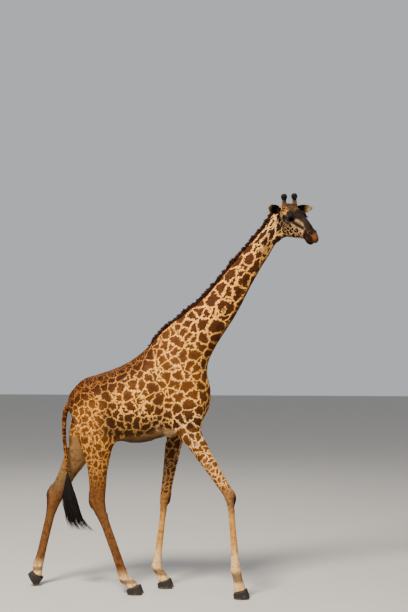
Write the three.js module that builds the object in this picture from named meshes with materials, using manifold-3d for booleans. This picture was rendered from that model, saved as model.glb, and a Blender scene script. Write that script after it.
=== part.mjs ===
// A Masai giraffe cow at life size, walking, with its head turned to its right.
// Millimetres, +X to the front of the body, +Y to its left, +Z up, ground at z = 0.
// The soft body is one smooth field, meshed region by region and parted with thin cuts.
// Hooves, eyes, ears, ossicones, mane and tail are separate solids set into it.
import * as THREE from "three";
import { mergeVertices } from "three/addons/utils/BufferGeometryUtils.js";
import Module from "manifold-3d";

const wasm = await Module();
wasm.setup();

// ---------------------------------------------------------------- driving dimensions
const GAP = 0.4; // left between neighbouring solids
const BLEND = 70; // how softly a limb runs into the trunk
const RIGHT = -1;
const LEFT = 1;

// The two sides of the body's outline at each cross-section, from nape to tail:
// dorsal x and z, ventral x and z, half the width, and how much the back is narrower.
const SPINE = [
  { dorsal: [1262, 3850], ventral: [1452, 3722], half: 66, taper: 0.05 },
  { dorsal: [1168, 3700], ventral: [1350, 3562], half: 70, taper: 0.1 },
  { dorsal: [1040, 3555], ventral: [1230, 3400], half: 74, taper: 0.12 },
  { dorsal: [830, 3305], ventral: [1060, 3125], half: 84, taper: 0.15 },
  { dorsal: [625, 3060], ventral: [912, 2830], half: 98, taper: 0.15 },
  { dorsal: [415, 2870], ventral: [705, 2515], half: 122, taper: 0.2 },
  { dorsal: [260, 2760], ventral: [612, 2340], half: 150, taper: 0.28 },
  { dorsal: [105, 2635], ventral: [570, 2165], half: 182, taper: 0.3 },
  { dorsal: [20, 2535], ventral: [612, 1960], half: 222, taper: 0.3 },
  { dorsal: [-40, 2475], ventral: [535, 1710], half: 258, taper: 0.24 },
  { dorsal: [-180, 2365], ventral: [170, 1568], half: 290, taper: 0.16 },
  { dorsal: [-290, 2300], ventral: [-90, 1497], half: 300, taper: 0.1 },
  { dorsal: [-475, 2228], ventral: [-345, 1530], half: 282, taper: 0 },
  { dorsal: [-620, 2170], ventral: [-540, 1590], half: 246, taper: -0.06 },
  { dorsal: [-735, 2085], ventral: [-690, 1680], half: 190, taper: -0.1 },
  { dorsal: [-835, 1965], ventral: [-808, 1790], half: 105, taper: 0 },
];

// Joint places of each leg: x, half-stance y and z. Fore legs share their bone lengths.
const LEGS = {
  fore_right: {
    side: RIGHT,
    toeDown: 0,
    joints: { top: [470, 195, 1590], mid: [850, 178, 995], fetlock: [907, 170, 280],
      coronet: [946, 170, 72] },
  },
  fore_left: {
    side: LEFT,
    toeDown: 0,
    joints: { top: [240, 195, 1620], mid: [125, 192, 920], fetlock: [42, 194, 212],
      coronet: [120, 194, 72] },
  },
  hind_right: {
    side: RIGHT,
    toeDown: 0,
    joints: { top: [-508, 160, 1560], mid: [-500, 148, 900], fetlock: [-226, 136, 158],
      coronet: [-132, 134, 72] },
  },
  hind_left: {
    side: LEFT,
    toeDown: 56,
    joints: { top: [-700, 152, 1540], mid: [-1042, 140, 905], fetlock: [-1205, 126, 210],
      coronet: [-1214, 122, 114] },
  },
};

// Thickness down a leg. at: 0 top joint, 1 knee or hock, 2 fetlock, 3 coronet.
// front and back: how far the outline stands from the bone line; half: half the width.
const FORE_LEG = [
  { at: -0.08, front: 110, back: 112, half: 88 },
  { at: 0.15, front: 92, back: 94, half: 84 },
  { at: 0.4, front: 80, back: 80, half: 70 },
  { at: 0.7, front: 66, back: 64, half: 58 },
  { at: 0.92, front: 58, back: 56, half: 55 },
  { at: 1.02, front: 60, back: 56, half: 56 },
  { at: 1.16, front: 38, back: 38, half: 40 },
  { at: 1.35, front: 34, back: 35, half: 33 },
  { at: 1.65, front: 37, back: 38, half: 33 },
  { at: 1.88, front: 43, back: 46, half: 40 },
  { at: 2.0, front: 52, back: 54, half: 48 },
  { at: 2.5, front: 48, back: 48, half: 48 },
  { at: 3.0, front: 66, back: 62, half: 68 },
  { at: 3.25, front: 70, back: 66, half: 72 },
];
const HIND_LEG = [
  { at: -0.12, front: 232, back: 232, half: 112 },
  { at: 0.1, front: 168, back: 186, half: 100 },
  { at: 0.28, front: 134, back: 142, half: 84 },
  { at: 0.5, front: 104, back: 108, half: 66 },
  { at: 0.78, front: 84, back: 92, half: 54 },
  { at: 0.97, front: 82, back: 100, half: 52 },
  { at: 1.1, front: 66, back: 74, half: 48 },
  { at: 1.26, front: 48, back: 52, half: 40 },
  { at: 1.5, front: 47, back: 51, half: 34 },
  { at: 1.8, front: 46, back: 49, half: 36 },
  { at: 2.0, front: 54, back: 60, half: 48 },
  { at: 2.5, front: 46, back: 48, half: 48 },
  { at: 3.0, front: 60, back: 58, half: 66 },
  { at: 3.25, front: 64, back: 62, half: 70 },
];

// Where each leg is parted: from the trunk at this height, and below the knee or hock.
const LEG_TOP = { fore_right: 1550, fore_left: 1496, hind_right: 1470, hind_left: 1440 };
const BELOW_JOINT = 1.15;

const HEAD = { poll: [1428, -58, 3935], yaw: 46, pitch: 32.5, roll: 9, scale: 0.96 };
// Down the head from the poll: distance, height of the top and bottom lines, half width,
// squareness and how much the top is narrower than the bottom.
const HEAD_SECTIONS = [
  { s: -75, top: -58, bottom: -235, half: 60, taper: 0 },
  { s: -20, top: -10, bottom: -278, half: 76, taper: -0.05 },
  { s: 50, top: 6, bottom: -322, half: 83, taper: -0.14 },
  { s: 115, top: 12, bottom: -334, half: 85, taper: -0.22 },
  { s: 195, top: 4, bottom: -306, half: 82, taper: -0.26 },
  { s: 275, top: -7, bottom: -272, half: 70, taper: -0.22 },
  { s: 350, top: -18, bottom: -242, half: 58, taper: -0.14 },
  { s: 425, top: -38, bottom: -210, half: 50, taper: -0.06 },
  { s: 500, top: -70, bottom: -200, half: 45, taper: 0 },
  { s: 545, top: -90, bottom: -188, half: 42, taper: 0.05 },
  { s: 575, top: -118, bottom: -172, half: 33, taper: 0.05 },
];
const EYE = { s: 178, l: 106, u: -78, radius: 26 };
const OSSICONE = { s: 50, l: 67, u: -30, back: 27 };
// Radius and height along an ossicone, from its sunk foot to the crown of its hair.
const OSSICONE_PROFILE = [
  [0, 0], [29, 0], [26, 30], [22, 62], [21, 84], [27, 95], [31, 110], [31, 126], [24, 142],
  [0, 150],
];
const EAR = {
  root: [-6, 70, -84], // down the head, out and up from the poll
  aim: { right: [0.3, 0.9, 0.34], left: [0.36, 0.9, 0.2] },
  facing: [1, 0, 0.4],
  length: 238, half: 48, thick: 13,
};
const MANE = { from: 0.25, to: 7.62, height: 48, sunk: 22, halfRoot: 17, halfTip: 6 };

// Tail and its tuft down their middle line: x, z, half depth and half width.
const TAIL = [
  { x: -800, z: 1925, depth: 46, half: 42 },
  { x: -880, z: 1850, depth: 36, half: 34 },
  { x: -904, z: 1730, depth: 27, half: 26 },
  { x: -903, z: 1560, depth: 25, half: 24 },
  { x: -886, z: 1400, depth: 23, half: 22 },
  { x: -868, z: 1250, depth: 19, half: 19 },
  { x: -858, z: 1128, depth: 18, half: 18 },
];
const TAIL_TUFT = [
  { x: -859, z: 1180, depth: 26, half: 25 },
  { x: -857, z: 1100, depth: 42, half: 32 },
  { x: -856, z: 1000, depth: 74, half: 44 },
  { x: -842, z: 890, depth: 84, half: 50 },
  { x: -806, z: 780, depth: 84, half: 50 },
  { x: -752, z: 690, depth: 88, half: 44 },
  { x: -672, z: 612, depth: 66, half: 34 },
  { x: -585, z: 572, depth: 22, half: 20 },
];
// One toe's hoof: sole length, width, wall heights, length at the coronet, and the cleft.
const HOOF = { length: 160, width: 76, front: 94, heel: 50, top: 132, ahead: 20, cleft: 8 };

// ---------------------------------------------------------------- small vector helpers
const V = (x, y, z) => new THREE.Vector3(x, y, z);
const lerp = (a, b, t) => a + (b - a) * t;
const clamp01 = (t) => Math.min(1, Math.max(0, t));
const rad = THREE.MathUtils.degToRad;

// Catmull-Rom blend of four equally long number lists.
function spline(p0, p1, p2, p3, t) {
  return p1.map((b, i) => {
    const [a, c, d] = [p0[i], p2[i], p3[i]];
    return b + 0.5 * t * (c - a + t * (2 * a - 5 * b + 4 * c - d + t * (3 * (b - c) + d - a)));
  });
}

// ---------------------------------------------------------------- fields
// A field is a function of x, y, z in millimetres: below zero inside the body.

const smoothUnion = (k, a, b) => {
  const h = clamp01(0.5 + (0.5 * (b - a)) / k);
  return lerp(b, a, h) - k * h * (1 - h);
};

// A body swept through cross-sections. Each section has a centre, an in-plane half depth
// vector, a half width along `across` and a taper that narrows it towards the vector.
function sweep(sections, across, steps, cap) {
  const flat = sections.map((s) => [...s.centre, ...s.reach, s.half, s.taper]);
  const rows = [];
  for (let i = 0; i + 1 < flat.length; i++) {
    const before = flat[Math.max(0, i - 1)];
    const after = flat[Math.min(flat.length - 1, i + 2)];
    for (let j = 0; j < steps; j++)
      rows.push(spline(before, flat[i], flat[i + 1], after, j / steps));
  }
  rows.push(flat[flat.length - 1]);
  const slabs = rows.map((r) => {
    const depth = Math.hypot(r[3], r[4], r[5]);
    const dir = [r[3] / depth, r[4] / depth, r[5] / depth];
    const along = [
      across[1] * dir[2] - across[2] * dir[1],
      across[2] * dir[0] - across[0] * dir[2],
      across[0] * dir[1] - across[1] * dir[0],
    ];
    return { c: r.slice(0, 3), dir, along, depth, half: r[6], taper: r[7] };
  });
  const side = (s, x, y, z) =>
    (x - s.c[0]) * s.along[0] + (y - s.c[1]) * s.along[1] + (z - s.c[2]) * s.along[2];
  return (x, y, z) => {
    let best = Infinity;
    let d0 = side(slabs[0], x, y, z);
    for (let i = 0; i + 1 < slabs.length; i++) {
      const [p, q] = [slabs[i], slabs[i + 1]];
      const d1 = side(q, x, y, z);
      const t = clamp01(d0 === d1 ? 0 : d0 / (d0 - d1));
      const out = d0 * d1 < 0 ? 0 : Math.min(Math.abs(d0), Math.abs(d1));
      const rx = x - lerp(p.c[0], q.c[0], t);
      const ry = y - lerp(p.c[1], q.c[1], t);
      const rz = z - lerp(p.c[2], q.c[2], t);
      const dir = [0, 1, 2].map((k) => lerp(p.dir[k], q.dir[k], t));
      const depth = lerp(p.depth, q.depth, t);
      const u = (rx * dir[0] + ry * dir[1] + rz * dir[2]) / depth;
      const bend = 1 - lerp(p.taper, q.taper, t) * Math.max(-1, Math.min(1, u));
      const half = lerp(p.half, q.half, t) * bend;
      const v = (rx * across[0] + ry * across[1] + rz * across[2]) / half;
      const small = Math.min(depth, half);
      const w = out / (cap * small);
      const k = Math.hypot(u, v, w);
      best = Math.min(best, (k - 1) * small);
      d0 = d1;
    }
    return best;
  };
}

// An ellipsoid with its centre, its three half sizes and the frame they are measured in.
function ellipsoid(centre, sizes, axes) {
  const [a, b, c] = axes;
  const small = Math.min(...sizes);
  return (x, y, z) => {
    const [dx, dy, dz] = [x - centre.x, y - centre.y, z - centre.z];
    const k = Math.hypot(
      (dx * a.x + dy * a.y + dz * a.z) / sizes[0],
      (dx * b.x + dy * b.y + dz * b.z) / sizes[1],
      (dx * c.x + dy * c.y + dz * c.z) / sizes[2],
    );
    return (k - 1) * small;
  };
}
const BODY_AXES = [V(1, 0, 0), V(0, 1, 0), V(0, 0, 1)];

// An ellipsoid in the body's side plane, turned nose-down by `tilt` degrees.
function muscle(centre, sizes, tilt) {
  const [c, s] = [Math.cos(rad(tilt)), Math.sin(rad(tilt))];
  return ellipsoid(V(...centre), sizes, [V(c, 0, -s), V(0, 1, 0), V(s, 0, c)]);
}

// ---------------------------------------------------------------- neck and trunk
const spineField = sweep(
  SPINE.map((s) => ({
    centre: [(s.dorsal[0] + s.ventral[0]) / 2, 0, (s.dorsal[1] + s.ventral[1]) / 2],
    reach: [(s.dorsal[0] - s.ventral[0]) / 2, 0, (s.dorsal[1] - s.ventral[1]) / 2],
    half: s.half,
    taper: s.taper,
  })),
  [0, 1, 0], 4, 0.6,
);

// ---------------------------------------------------------------- legs
// A point on a leg's bone line, with the direction of the bone there.
function onLeg(leg, at) {
  const names = ["top", "mid", "fetlock", "coronet"];
  const points = names.map((n) => {
    const [x, y, z] = leg.joints[n];
    return V(x, leg.side * y, z);
  });
  const i = Math.max(0, Math.min(2, Math.floor(at)));
  return points[i].clone().lerp(points[i + 1], at - i);
}

function legField(leg, profile) {
  const sections = profile.map((p, i) => {
    const here = onLeg(leg, p.at);
    const above = onLeg(leg, profile[Math.max(0, i - 1)].at);
    const below = onLeg(leg, profile[Math.min(profile.length - 1, i + 1)].at);
    const bone = below.clone().sub(above).normalize();
    const front = V(-bone.z, 0, bone.x).normalize();
    const centre = here.addScaledVector(front, (p.front - p.back) / 2);
    const reach = front.multiplyScalar((p.front + p.back) / 2);
    return { centre: centre.toArray(), reach: reach.toArray(), half: p.half, taper: 0 };
  });
  return sweep(sections, [0, 1, 0], 3, 0.8);
}

const legFields = Object.fromEntries(
  Object.entries(LEGS).map(([name, leg]) => [
    name,
    legField(leg, name.startsWith("fore") ? FORE_LEG : HIND_LEG),
  ]),
);

// Shoulders and haunches, which carry the legs up into the trunk.
const fleshFields = [RIGHT, LEFT].flatMap((side) => {
  const swing = side === RIGHT ? 1 : 0;
  return [
    muscle([330, side * 168, 2060], [150, 92, 330], -22),
    muscle([lerp(300, 430, swing), side * 190, 1760], [150, 92, 215], lerp(-6, 14, swing)),
    muscle([-560, side * 150, 1930], [235, 108, 260], 18),
    muscle([lerp(-650, -520, swing), side * 158, 1680], [222, 106, 215], lerp(30, 8, swing)),
  ];
});

function bodyField(x, y, z) {
  let f = spineField(x, y, z);
  for (const flesh of fleshFields) f = smoothUnion(BLEND, f, flesh(x, y, z));
  for (const leg of Object.values(legFields)) f = smoothUnion(BLEND / 2, f, leg(x, y, z));
  return f;
}

// ---------------------------------------------------------------- head
const headForward = V(
  Math.cos(rad(HEAD.pitch)) * Math.cos(rad(HEAD.yaw)),
  -Math.cos(rad(HEAD.pitch)) * Math.sin(rad(HEAD.yaw)),
  -Math.sin(rad(HEAD.pitch)),
);
const headLeft = V(Math.sin(rad(HEAD.yaw)), Math.cos(rad(HEAD.yaw)), 0)
  .applyAxisAngle(headForward, -rad(HEAD.roll) * RIGHT);
const headUp = headForward.clone().cross(headLeft);
const HEAD_AXES = [headForward, headLeft, headUp];

// A point given down the head, to its left and up from the poll.
function onHead(s, l, u) {
  return V(...HEAD.poll)
    .addScaledVector(headForward, s * HEAD.scale)
    .addScaledVector(headLeft, l * HEAD.scale)
    .addScaledVector(headUp, u * HEAD.scale);
}
const headLump = (s, l, u, sizes) =>
  ellipsoid(onHead(s, l, u), sizes.map((v) => v * HEAD.scale), HEAD_AXES);

const headCore = sweep(
  HEAD_SECTIONS.map((h) => ({
    centre: onHead(h.s, 0, (h.top + h.bottom) / 2).toArray(),
    reach: headUp.clone().multiplyScalar(((h.top - h.bottom) / 2) * HEAD.scale).toArray(),
    half: h.half * HEAD.scale,
    taper: h.taper,
  })),
  headLeft.toArray(), 3, 0.7,
);
// Lumps added to the head: place, half sizes and softness; both sides where l is not 0.
const HEAD_LUMPS = [
  { at: [178, 82, -50], sizes: [62, 36, 38], soft: 22 }, // brow and orbit
  { at: [112, 52, -215], sizes: [92, 34, 90], soft: 26 }, // cheek
  { at: [112, 0, -4], sizes: [84, 44, 26], soft: 24 }, // forehead boss
  { at: [46, 60, -14], sizes: [42, 32, 36], soft: 24 }, // root of the ossicone
  { at: [0, 70, -84], sizes: [46, 32, 42], soft: 24 }, // root of the ear
  { at: [494, 30, -98], sizes: [44, 17, 25], soft: 14 }, // nostril wing
  { at: [548, 0, -140], sizes: [42, 42, 42], soft: 20 }, // upper lip
  { at: [482, 0, -198], sizes: [62, 35, 38], soft: 18 }, // lower lip and chin
];
const headLumps = HEAD_LUMPS.flatMap(({ at: [s, l, u], sizes, soft }) =>
  (l ? [l, -l] : [0]).map((side) => ({ field: headLump(s, side, u, sizes), soft })),
);

function headField(x, y, z) {
  let f = headCore(x, y, z);
  for (const lump of headLumps) f = smoothUnion(lump.soft, f, lump.field(x, y, z));
  return smoothUnion(34, f, spineField(x, y, z));
}

// ---------------------------------------------------------------- solids
// A copy of a geometry as loose triangles that hold nothing but positions.
function bare(geometry) {
  const g = geometry.index ? geometry.toNonIndexed() : geometry.clone();
  for (const name of Object.keys(g.attributes)) if (name !== "position") g.deleteAttribute(name);
  return g;
}

// A closed three.js geometry as a manifold-3d solid.
function solidOf(geometry) {
  const merged = mergeVertices(bare(geometry), 1e-3);
  return new wasm.Manifold(
    new wasm.Mesh({
      numProp: 3,
      vertProperties: new Float32Array(merged.attributes.position.array),
      triVerts: new Uint32Array(merged.index.array),
    }),
  );
}

function geometryOf(solid) {
  const mesh = solid.getMesh();
  return new THREE.BufferGeometry()
    .setAttribute("position", new THREE.BufferAttribute(mesh.vertProperties.slice(), 3))
    .setIndex(new THREE.BufferAttribute(mesh.triVerts.slice(), 1));
}

// The same shape with every vertex moved outwards, to cut a clear seat in a neighbour.
function grown(geometry, by) {
  const merged = mergeVertices(bare(geometry), 1e-3);
  merged.computeVertexNormals();
  const { position, normal } = merged.attributes;
  for (let i = 0; i < position.count; i++) {
    const p = V().fromBufferAttribute(position, i);
    p.addScaledVector(V().fromBufferAttribute(normal, i), by);
    position.setXYZ(i, p.x, p.y, p.z);
  }
  return solidOf(merged);
}

// The same for a folded shape, whose vertices can't all move outwards: four shifted copies.
function spread(geometry, by) {
  return [[by, by, by], [by, -by, -by], [-by, by, -by], [-by, -by, by]]
    .map((shift) => solidOf(geometry.clone().translate(...shift)))
    .reduce((all, copy) => all.add(copy), solidOf(geometry));
}

const largest = (solid) =>
  solid.decompose().reduce((a, b) => (b.volume() > a.volume() ? b : a));

// Everything on the side of a plane that its normal points to, out to a few metres.
function halfSpace(point, normal, shift = 0) {
  const reach = 6000;
  const box = new THREE.BoxGeometry(reach, reach, reach).translate(0, 0, reach / 2 + shift);
  const n = normal.clone().normalize();
  box.applyQuaternion(new THREE.Quaternion().setFromUnitVectors(V(0, 0, 1), n));
  return solidOf(box.translate(point.x, point.y, point.z));
}
const keep = (solid, point, normal) =>
  solid.intersect(halfSpace(point, normal, GAP / 2));

// A region of space between two corners.
function region(low, high) {
  const size = high.map((v, i) => v - low[i]);
  const mid = high.map((v, i) => (v + low[i]) / 2);
  return solidOf(new THREE.BoxGeometry(...size).translate(...mid));
}

// Meshes the zero surface of a field inside an oriented box: one vertex in each cell that
// the surface crosses, moved onto the surface, and one quad across each crossed edge.
function meshField(field, { origin, axes, cell, count }) {
  const [nx, ny, nz] = count;
  const at = (i, j, k) =>
    V(...origin)
      .addScaledVector(axes[0], i * cell[0])
      .addScaledVector(axes[1], j * cell[1])
      .addScaledVector(axes[2], k * cell[2]);
  const index = (i, j, k) => (k * ny + j) * nx + i;
  const values = new Float64Array(nx * ny * nz);
  const rim = (i, n) => i === 0 || i === n - 1;
  for (let k = 0; k < nz; k++)
    for (let j = 0; j < ny; j++)
      for (let i = 0; i < nx; i++) {
        const p = at(i, j, k);
        const f = field(p.x, p.y, p.z);
        const edge = rim(i, nx) || rim(j, ny) || rim(k, nz);
        values[index(i, j, k)] = edge ? Math.max(f, 1) : f;
      }
  const small = Math.min(...cell);
  const settle = (start) => {
    const p = start.clone();
    for (let turn = 0; turn < 4; turn++) {
      const f = field(p.x, p.y, p.z);
      const h = 0.5;
      const g = V(
        field(p.x + h, p.y, p.z) - field(p.x - h, p.y, p.z),
        field(p.x, p.y + h, p.z) - field(p.x, p.y - h, p.z),
        field(p.x, p.y, p.z + h) - field(p.x, p.y, p.z - h),
      ).divideScalar(2 * h);
      p.addScaledVector(g, -f / Math.max(0.05, g.lengthSq()));
    }
    return start.add(p.sub(start).clampLength(0, 0.4 * small));
  };
  const positions = [];
  const vertexOf = new Map();
  for (let k = 0; k + 1 < nz; k++)
    for (let j = 0; j + 1 < ny; j++)
      for (let i = 0; i + 1 < nx; i++) {
        const sum = V();
        let crossings = 0;
        for (let axis = 0; axis < 3; axis++)
          for (let m = 0; m < 4; m++) {
            const a = [m & 1, m >> 1];
            a.splice(axis, 0, 0);
            const b = a.map((v, n) => (n === axis ? 1 : v));
            const fa = values[index(i + a[0], j + a[1], k + a[2])];
            const fb = values[index(i + b[0], j + b[1], k + b[2])];
            if (fa < 0 === fb < 0) continue;
            const t = fa / (fa - fb);
            sum.add(at(i + lerp(a[0], b[0], t), j + lerp(a[1], b[1], t), k + lerp(a[2], b[2], t)));
            crossings += 1;
          }
        if (!crossings) continue;
        const p = settle(sum.divideScalar(crossings));
        vertexOf.set(index(i, j, k), positions.length / 3);
        positions.push(p.x, p.y, p.z);
      }
  const triangles = [];
  const point = (v) => V(positions[3 * v], positions[3 * v + 1], positions[3 * v + 2]);
  const quad = (cells, flip) => {
    const v = cells.map((c) => vertexOf.get(c));
    if (flip) v.reverse();
    const [a, b, c, d] = v.map(point);
    if (a.distanceTo(c) < b.distanceTo(d)) triangles.push(v[0], v[1], v[2], v[0], v[2], v[3]);
    else triangles.push(v[1], v[2], v[3], v[1], v[3], v[0]);
  };
  // The four cells round the edge that leaves a grid point along each axis.
  const ROUND = [
    [[0, -1, -1], [0, 0, -1], [0, 0, 0], [0, -1, 0]],
    [[-1, 0, -1], [-1, 0, 0], [0, 0, 0], [0, 0, -1]],
    [[-1, -1, 0], [0, -1, 0], [0, 0, 0], [-1, 0, 0]],
  ];
  for (let k = 0; k + 1 < nz; k++)
    for (let j = 0; j + 1 < ny; j++)
      for (let i = 0; i + 1 < nx; i++) {
        const inside = values[index(i, j, k)] < 0;
        for (let axis = 0; axis < 3; axis++) {
          const next = [i, j, k].map((v, n) => v + (n === axis ? 1 : 0));
          if (inside === values[index(...next)] < 0) continue;
          quad(ROUND[axis].map(([a, b, c]) => index(i + a, j + b, k + c)), !inside);
        }
      }
  const geometry = new THREE.BufferGeometry()
    .setAttribute("position", new THREE.Float32BufferAttribute(positions, 3))
    .setIndex(triangles);
  return solidOf(geometry);
}

// An axis-aligned mesh of a field between two corners.
function meshBox(field, low, high, cell) {
  const count = high.map((v, i) => Math.ceil((v - low[i]) / cell[i]) + 1);
  return meshField(field, { origin: low, axes: BODY_AXES, cell, count });
}

// A mesh of a field in a box laid along the line between two points.
function meshAlong(field, from, to, halfDepth, halfWidth, cell) {
  const along = to.clone().sub(from);
  const length = along.length();
  along.normalize();
  const side = V(0, 1, 0);
  const depth = side.clone().cross(along).normalize();
  const count = [
    Math.ceil((2 * halfDepth) / cell[0]) + 1,
    Math.ceil((2 * halfWidth) / cell[1]) + 1,
    Math.ceil(length / cell[2]) + 1,
  ];
  const origin = from.clone()
    .addScaledVector(depth, (-(count[0] - 1) * cell[0]) / 2)
    .addScaledVector(side, (-(count[1] - 1) * cell[1]) / 2);
  return meshField(field, { origin: origin.toArray(), axes: [depth, side, along], cell, count });
}

// ---------------------------------------------------------------- lofts and set-in pieces
// A three.js geometry with each of its points moved by a rule.
function shaped(geometry, rule) {
  const { position } = geometry.attributes;
  for (let i = 0; i < position.count; i++) {
    const p = rule(V().fromBufferAttribute(position, i));
    position.setXYZ(i, p.x, p.y, p.z);
  }
  return geometry;
}

// A number list taken smoothly from a list of them, at a place counted in rows.
function sampled(rows, at) {
  const last = rows.length - 1;
  const i = Math.max(0, Math.min(last - 1, Math.floor(at)));
  const row = (k) => rows[Math.max(0, Math.min(last, k))];
  return spline(row(i - 1), row(i), row(i + 1), row(i + 2), at - i);
}

// A closed tube through sections of the side plane, from the first row to the last.
function hangingTube(rows, sides, steps) {
  const list = rows.map((r) => [r.x, r.z, r.depth, r.half]);
  const tube = new THREE.CylinderGeometry(1, 1, 1, sides, steps);
  return shaped(tube, (p) => {
    const at = (0.5 - p.y) * (list.length - 1);
    const [x, z, depth, half] = sampled(list, at);
    const [xa, za] = sampled(list, Math.max(0, at - 0.2));
    const [xb, zb] = sampled(list, Math.min(list.length - 1, at + 0.2));
    const along = V(xb - xa, 0, zb - za).normalize();
    const front = V(-along.z, 0, along.x);
    return V(x, -p.z * half, z).addScaledVector(front, p.x * depth);
  });
}

// The mane stands on the crest of the neck as one long fin with a rounded edge.
function maneGeometry() {
  const crest = SPINE.map((s) => [...s.dorsal, ...s.ventral]);
  const fin = new THREE.CylinderGeometry(1, 1, 1, 6, 18);
  return shaped(fin, (p) => {
    const t = 0.5 - p.y;
    const [x, z, xv, zv] = sampled(crest, lerp(MANE.from, MANE.to, t));
    const out = V(x - xv, 0, z - zv).normalize();
    const swell = Math.sqrt(Math.max(0, Math.sin(Math.PI * lerp(0.08, 0.96, t))));
    const height = MANE.height * swell;
    const rise = lerp(-MANE.sunk, height, (p.x + 1) / 2);
    const half = lerp(MANE.halfRoot, MANE.halfTip, clamp01(rise / MANE.height));
    return V(x, 0, z).addScaledVector(out, rise).add(V(0, p.z * half * 1.3, 0));
  });
}

function ossiconeGeometry(side) {
  const profile = OSSICONE_PROFILE.map(([r, h]) => new THREE.Vector2(r, h));
  return shaped(new THREE.LatheGeometry(profile, 9).rotateX(-rad(OSSICONE.back)), (p) =>
    onHead(OSSICONE.s, side * OSSICONE.l, OSSICONE.u)
      .addScaledVector(headUp, p.y)
      .addScaledVector(headForward, p.z)
      .addScaledVector(headLeft, p.x));
}

// A direction given down the head, outwards on one side, and up.
const headDirection = ([s, l, u], side) =>
  V().addScaledVector(headForward, s).addScaledVector(headLeft, side * l)
    .addScaledVector(headUp, u).normalize();

// An ear is a leaf rolled into a cup: a solid stem at its root, open and flat at its tip.
function earGeometry(side) {
  const along = headDirection(side === RIGHT ? EAR.aim.right : EAR.aim.left, side);
  const facing = headDirection(EAR.facing, side);
  facing.addScaledVector(along, -facing.dot(along)).normalize();
  const across = facing.clone().cross(along);
  const root = onHead(EAR.root[0], side * EAR.root[1], EAR.root[2]);
  return shaped(new THREE.SphereGeometry(1, 10, 8), (p) => {
    const ring = Math.hypot(p.x, p.z);
    const t = Math.acos(Math.max(-1, Math.min(1, -p.y))) / Math.PI;
    const leaf = lerp(0.42, 1, Math.sin(Math.PI * clamp01(t * 1.15 - 0.1)));
    const half = EAR.half * leaf * Math.sqrt(clamp01((1 - t) * 4.6));
    const roll = lerp(2.3, 0.8, clamp01(t * 1.5));
    const radius = half / Math.max(0.6, Math.sin(Math.min(roll, Math.PI / 2)));
    const middle = root.clone().addScaledVector(along, EAR.length * t);
    if (ring < 1e-5) return middle;
    const angle = (p.x / ring) * roll;
    const thin = (EAR.thick / 2) * Math.min(1, 4 * (1 - t));
    const stem = p.z < 0 ? Math.max(0, 0.8 - 2.6 * t) * radius : 0;
    const wall = Math.max(thin, stem) * (p.z / ring);
    return middle
      .addScaledVector(across, Math.sin(angle) * (radius + wall))
      .addScaledVector(facing, radius * 0.5 - Math.cos(angle) * (radius + wall));
  });
}

// The frame of a foot: where its coronet sits and how far its toes point down.
function footFrame(leg) {
  const c = onLeg(leg, 3);
  const turn = new THREE.Quaternion().setFromAxisAngle(V(0, 1, 0), rad(leg.toeDown));
  const middle = V(-HOOF.ahead, 0, (HOOF.front + HOOF.heel) / 2).applyQuaternion(turn);
  const slope = V(HOOF.heel - HOOF.front, 0, HOOF.top).applyQuaternion(turn).normalize();
  return { origin: c.clone().sub(middle), turn, coronet: c, slope };
}

// One toe's hoof: a D-shaped wall, steep at the toe, with a flat sole.
function hoofGeometry(leg, side) {
  const { origin, turn } = footFrame(leg);
  return shaped(new THREE.CylinderGeometry(1, 1, 1, 12, 1), (p) => {
    const rise = p.y + 0.5;
    const length = lerp(HOOF.length, HOOF.top, rise);
    const forward = p.x * (length / 2);
    const narrow = p.x > 0 ? 1 - 0.42 * p.x * p.x : 1 - 0.2 * p.x * p.x;
    const facesCleft = p.z * side > 0;
    const across = -p.z * (facesCleft ? Math.sqrt(narrow) : narrow) * lerp(1, 0.94, rise);
    const y = across * (HOOF.width / 2);
    const x = forward - HOOF.ahead * rise;
    const wall = lerp(HOOF.heel, HOOF.front, (forward + HOOF.top / 2) / HOOF.top);
    const q = V(x, y + (side * (HOOF.width + HOOF.cleft)) / 2, rise * wall);
    return q.applyQuaternion(turn).add(origin);
  });
}

// ---------------------------------------------------------------- where the body is parted
const spineMid = ({ dorsal, ventral }) =>
  V((dorsal[0] + ventral[0]) / 2, 0, (dorsal[1] + ventral[1]) / 2);
const opposite = ({ point, normal }) => ({ point, normal: normal.clone().negate() });
const keepAll = (solid, ...planes) => planes.reduce((s, p) => keep(s, p.point, p.normal), solid);
const NECK_BASE = { point: V(375, 0, 2500), normal: V(0.62, 0, 0.785) };
const NECK_TOP = {
  point: onHead(-30, 0, -130),
  normal: headForward.clone().multiplyScalar(0.92).addScaledVector(headUp, 0.39),
};

const flesh = new Map();
flesh.set("trunk", keepAll(
  meshBox(bodyField, [-1000, -420, 1380], [760, 420, 2900], [108, 86, 108]),
  opposite(NECK_BASE),
));
flesh.set("neck", keepAll(
  meshAlong(headField, spineMid(SPINE[8]), V(1520, 0, 4010), 420, 230, [68, 54, 116]),
  NECK_BASE, opposite(NECK_TOP),
));
flesh.set("head", keepAll(
  meshField(headField, {
    origin: onHead(-200, -170, -400).toArray(), axes: HEAD_AXES,
    cell: [29, 23.5, 24], count: [31, 16, 22],
  }),
  NECK_TOP,
));

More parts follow.
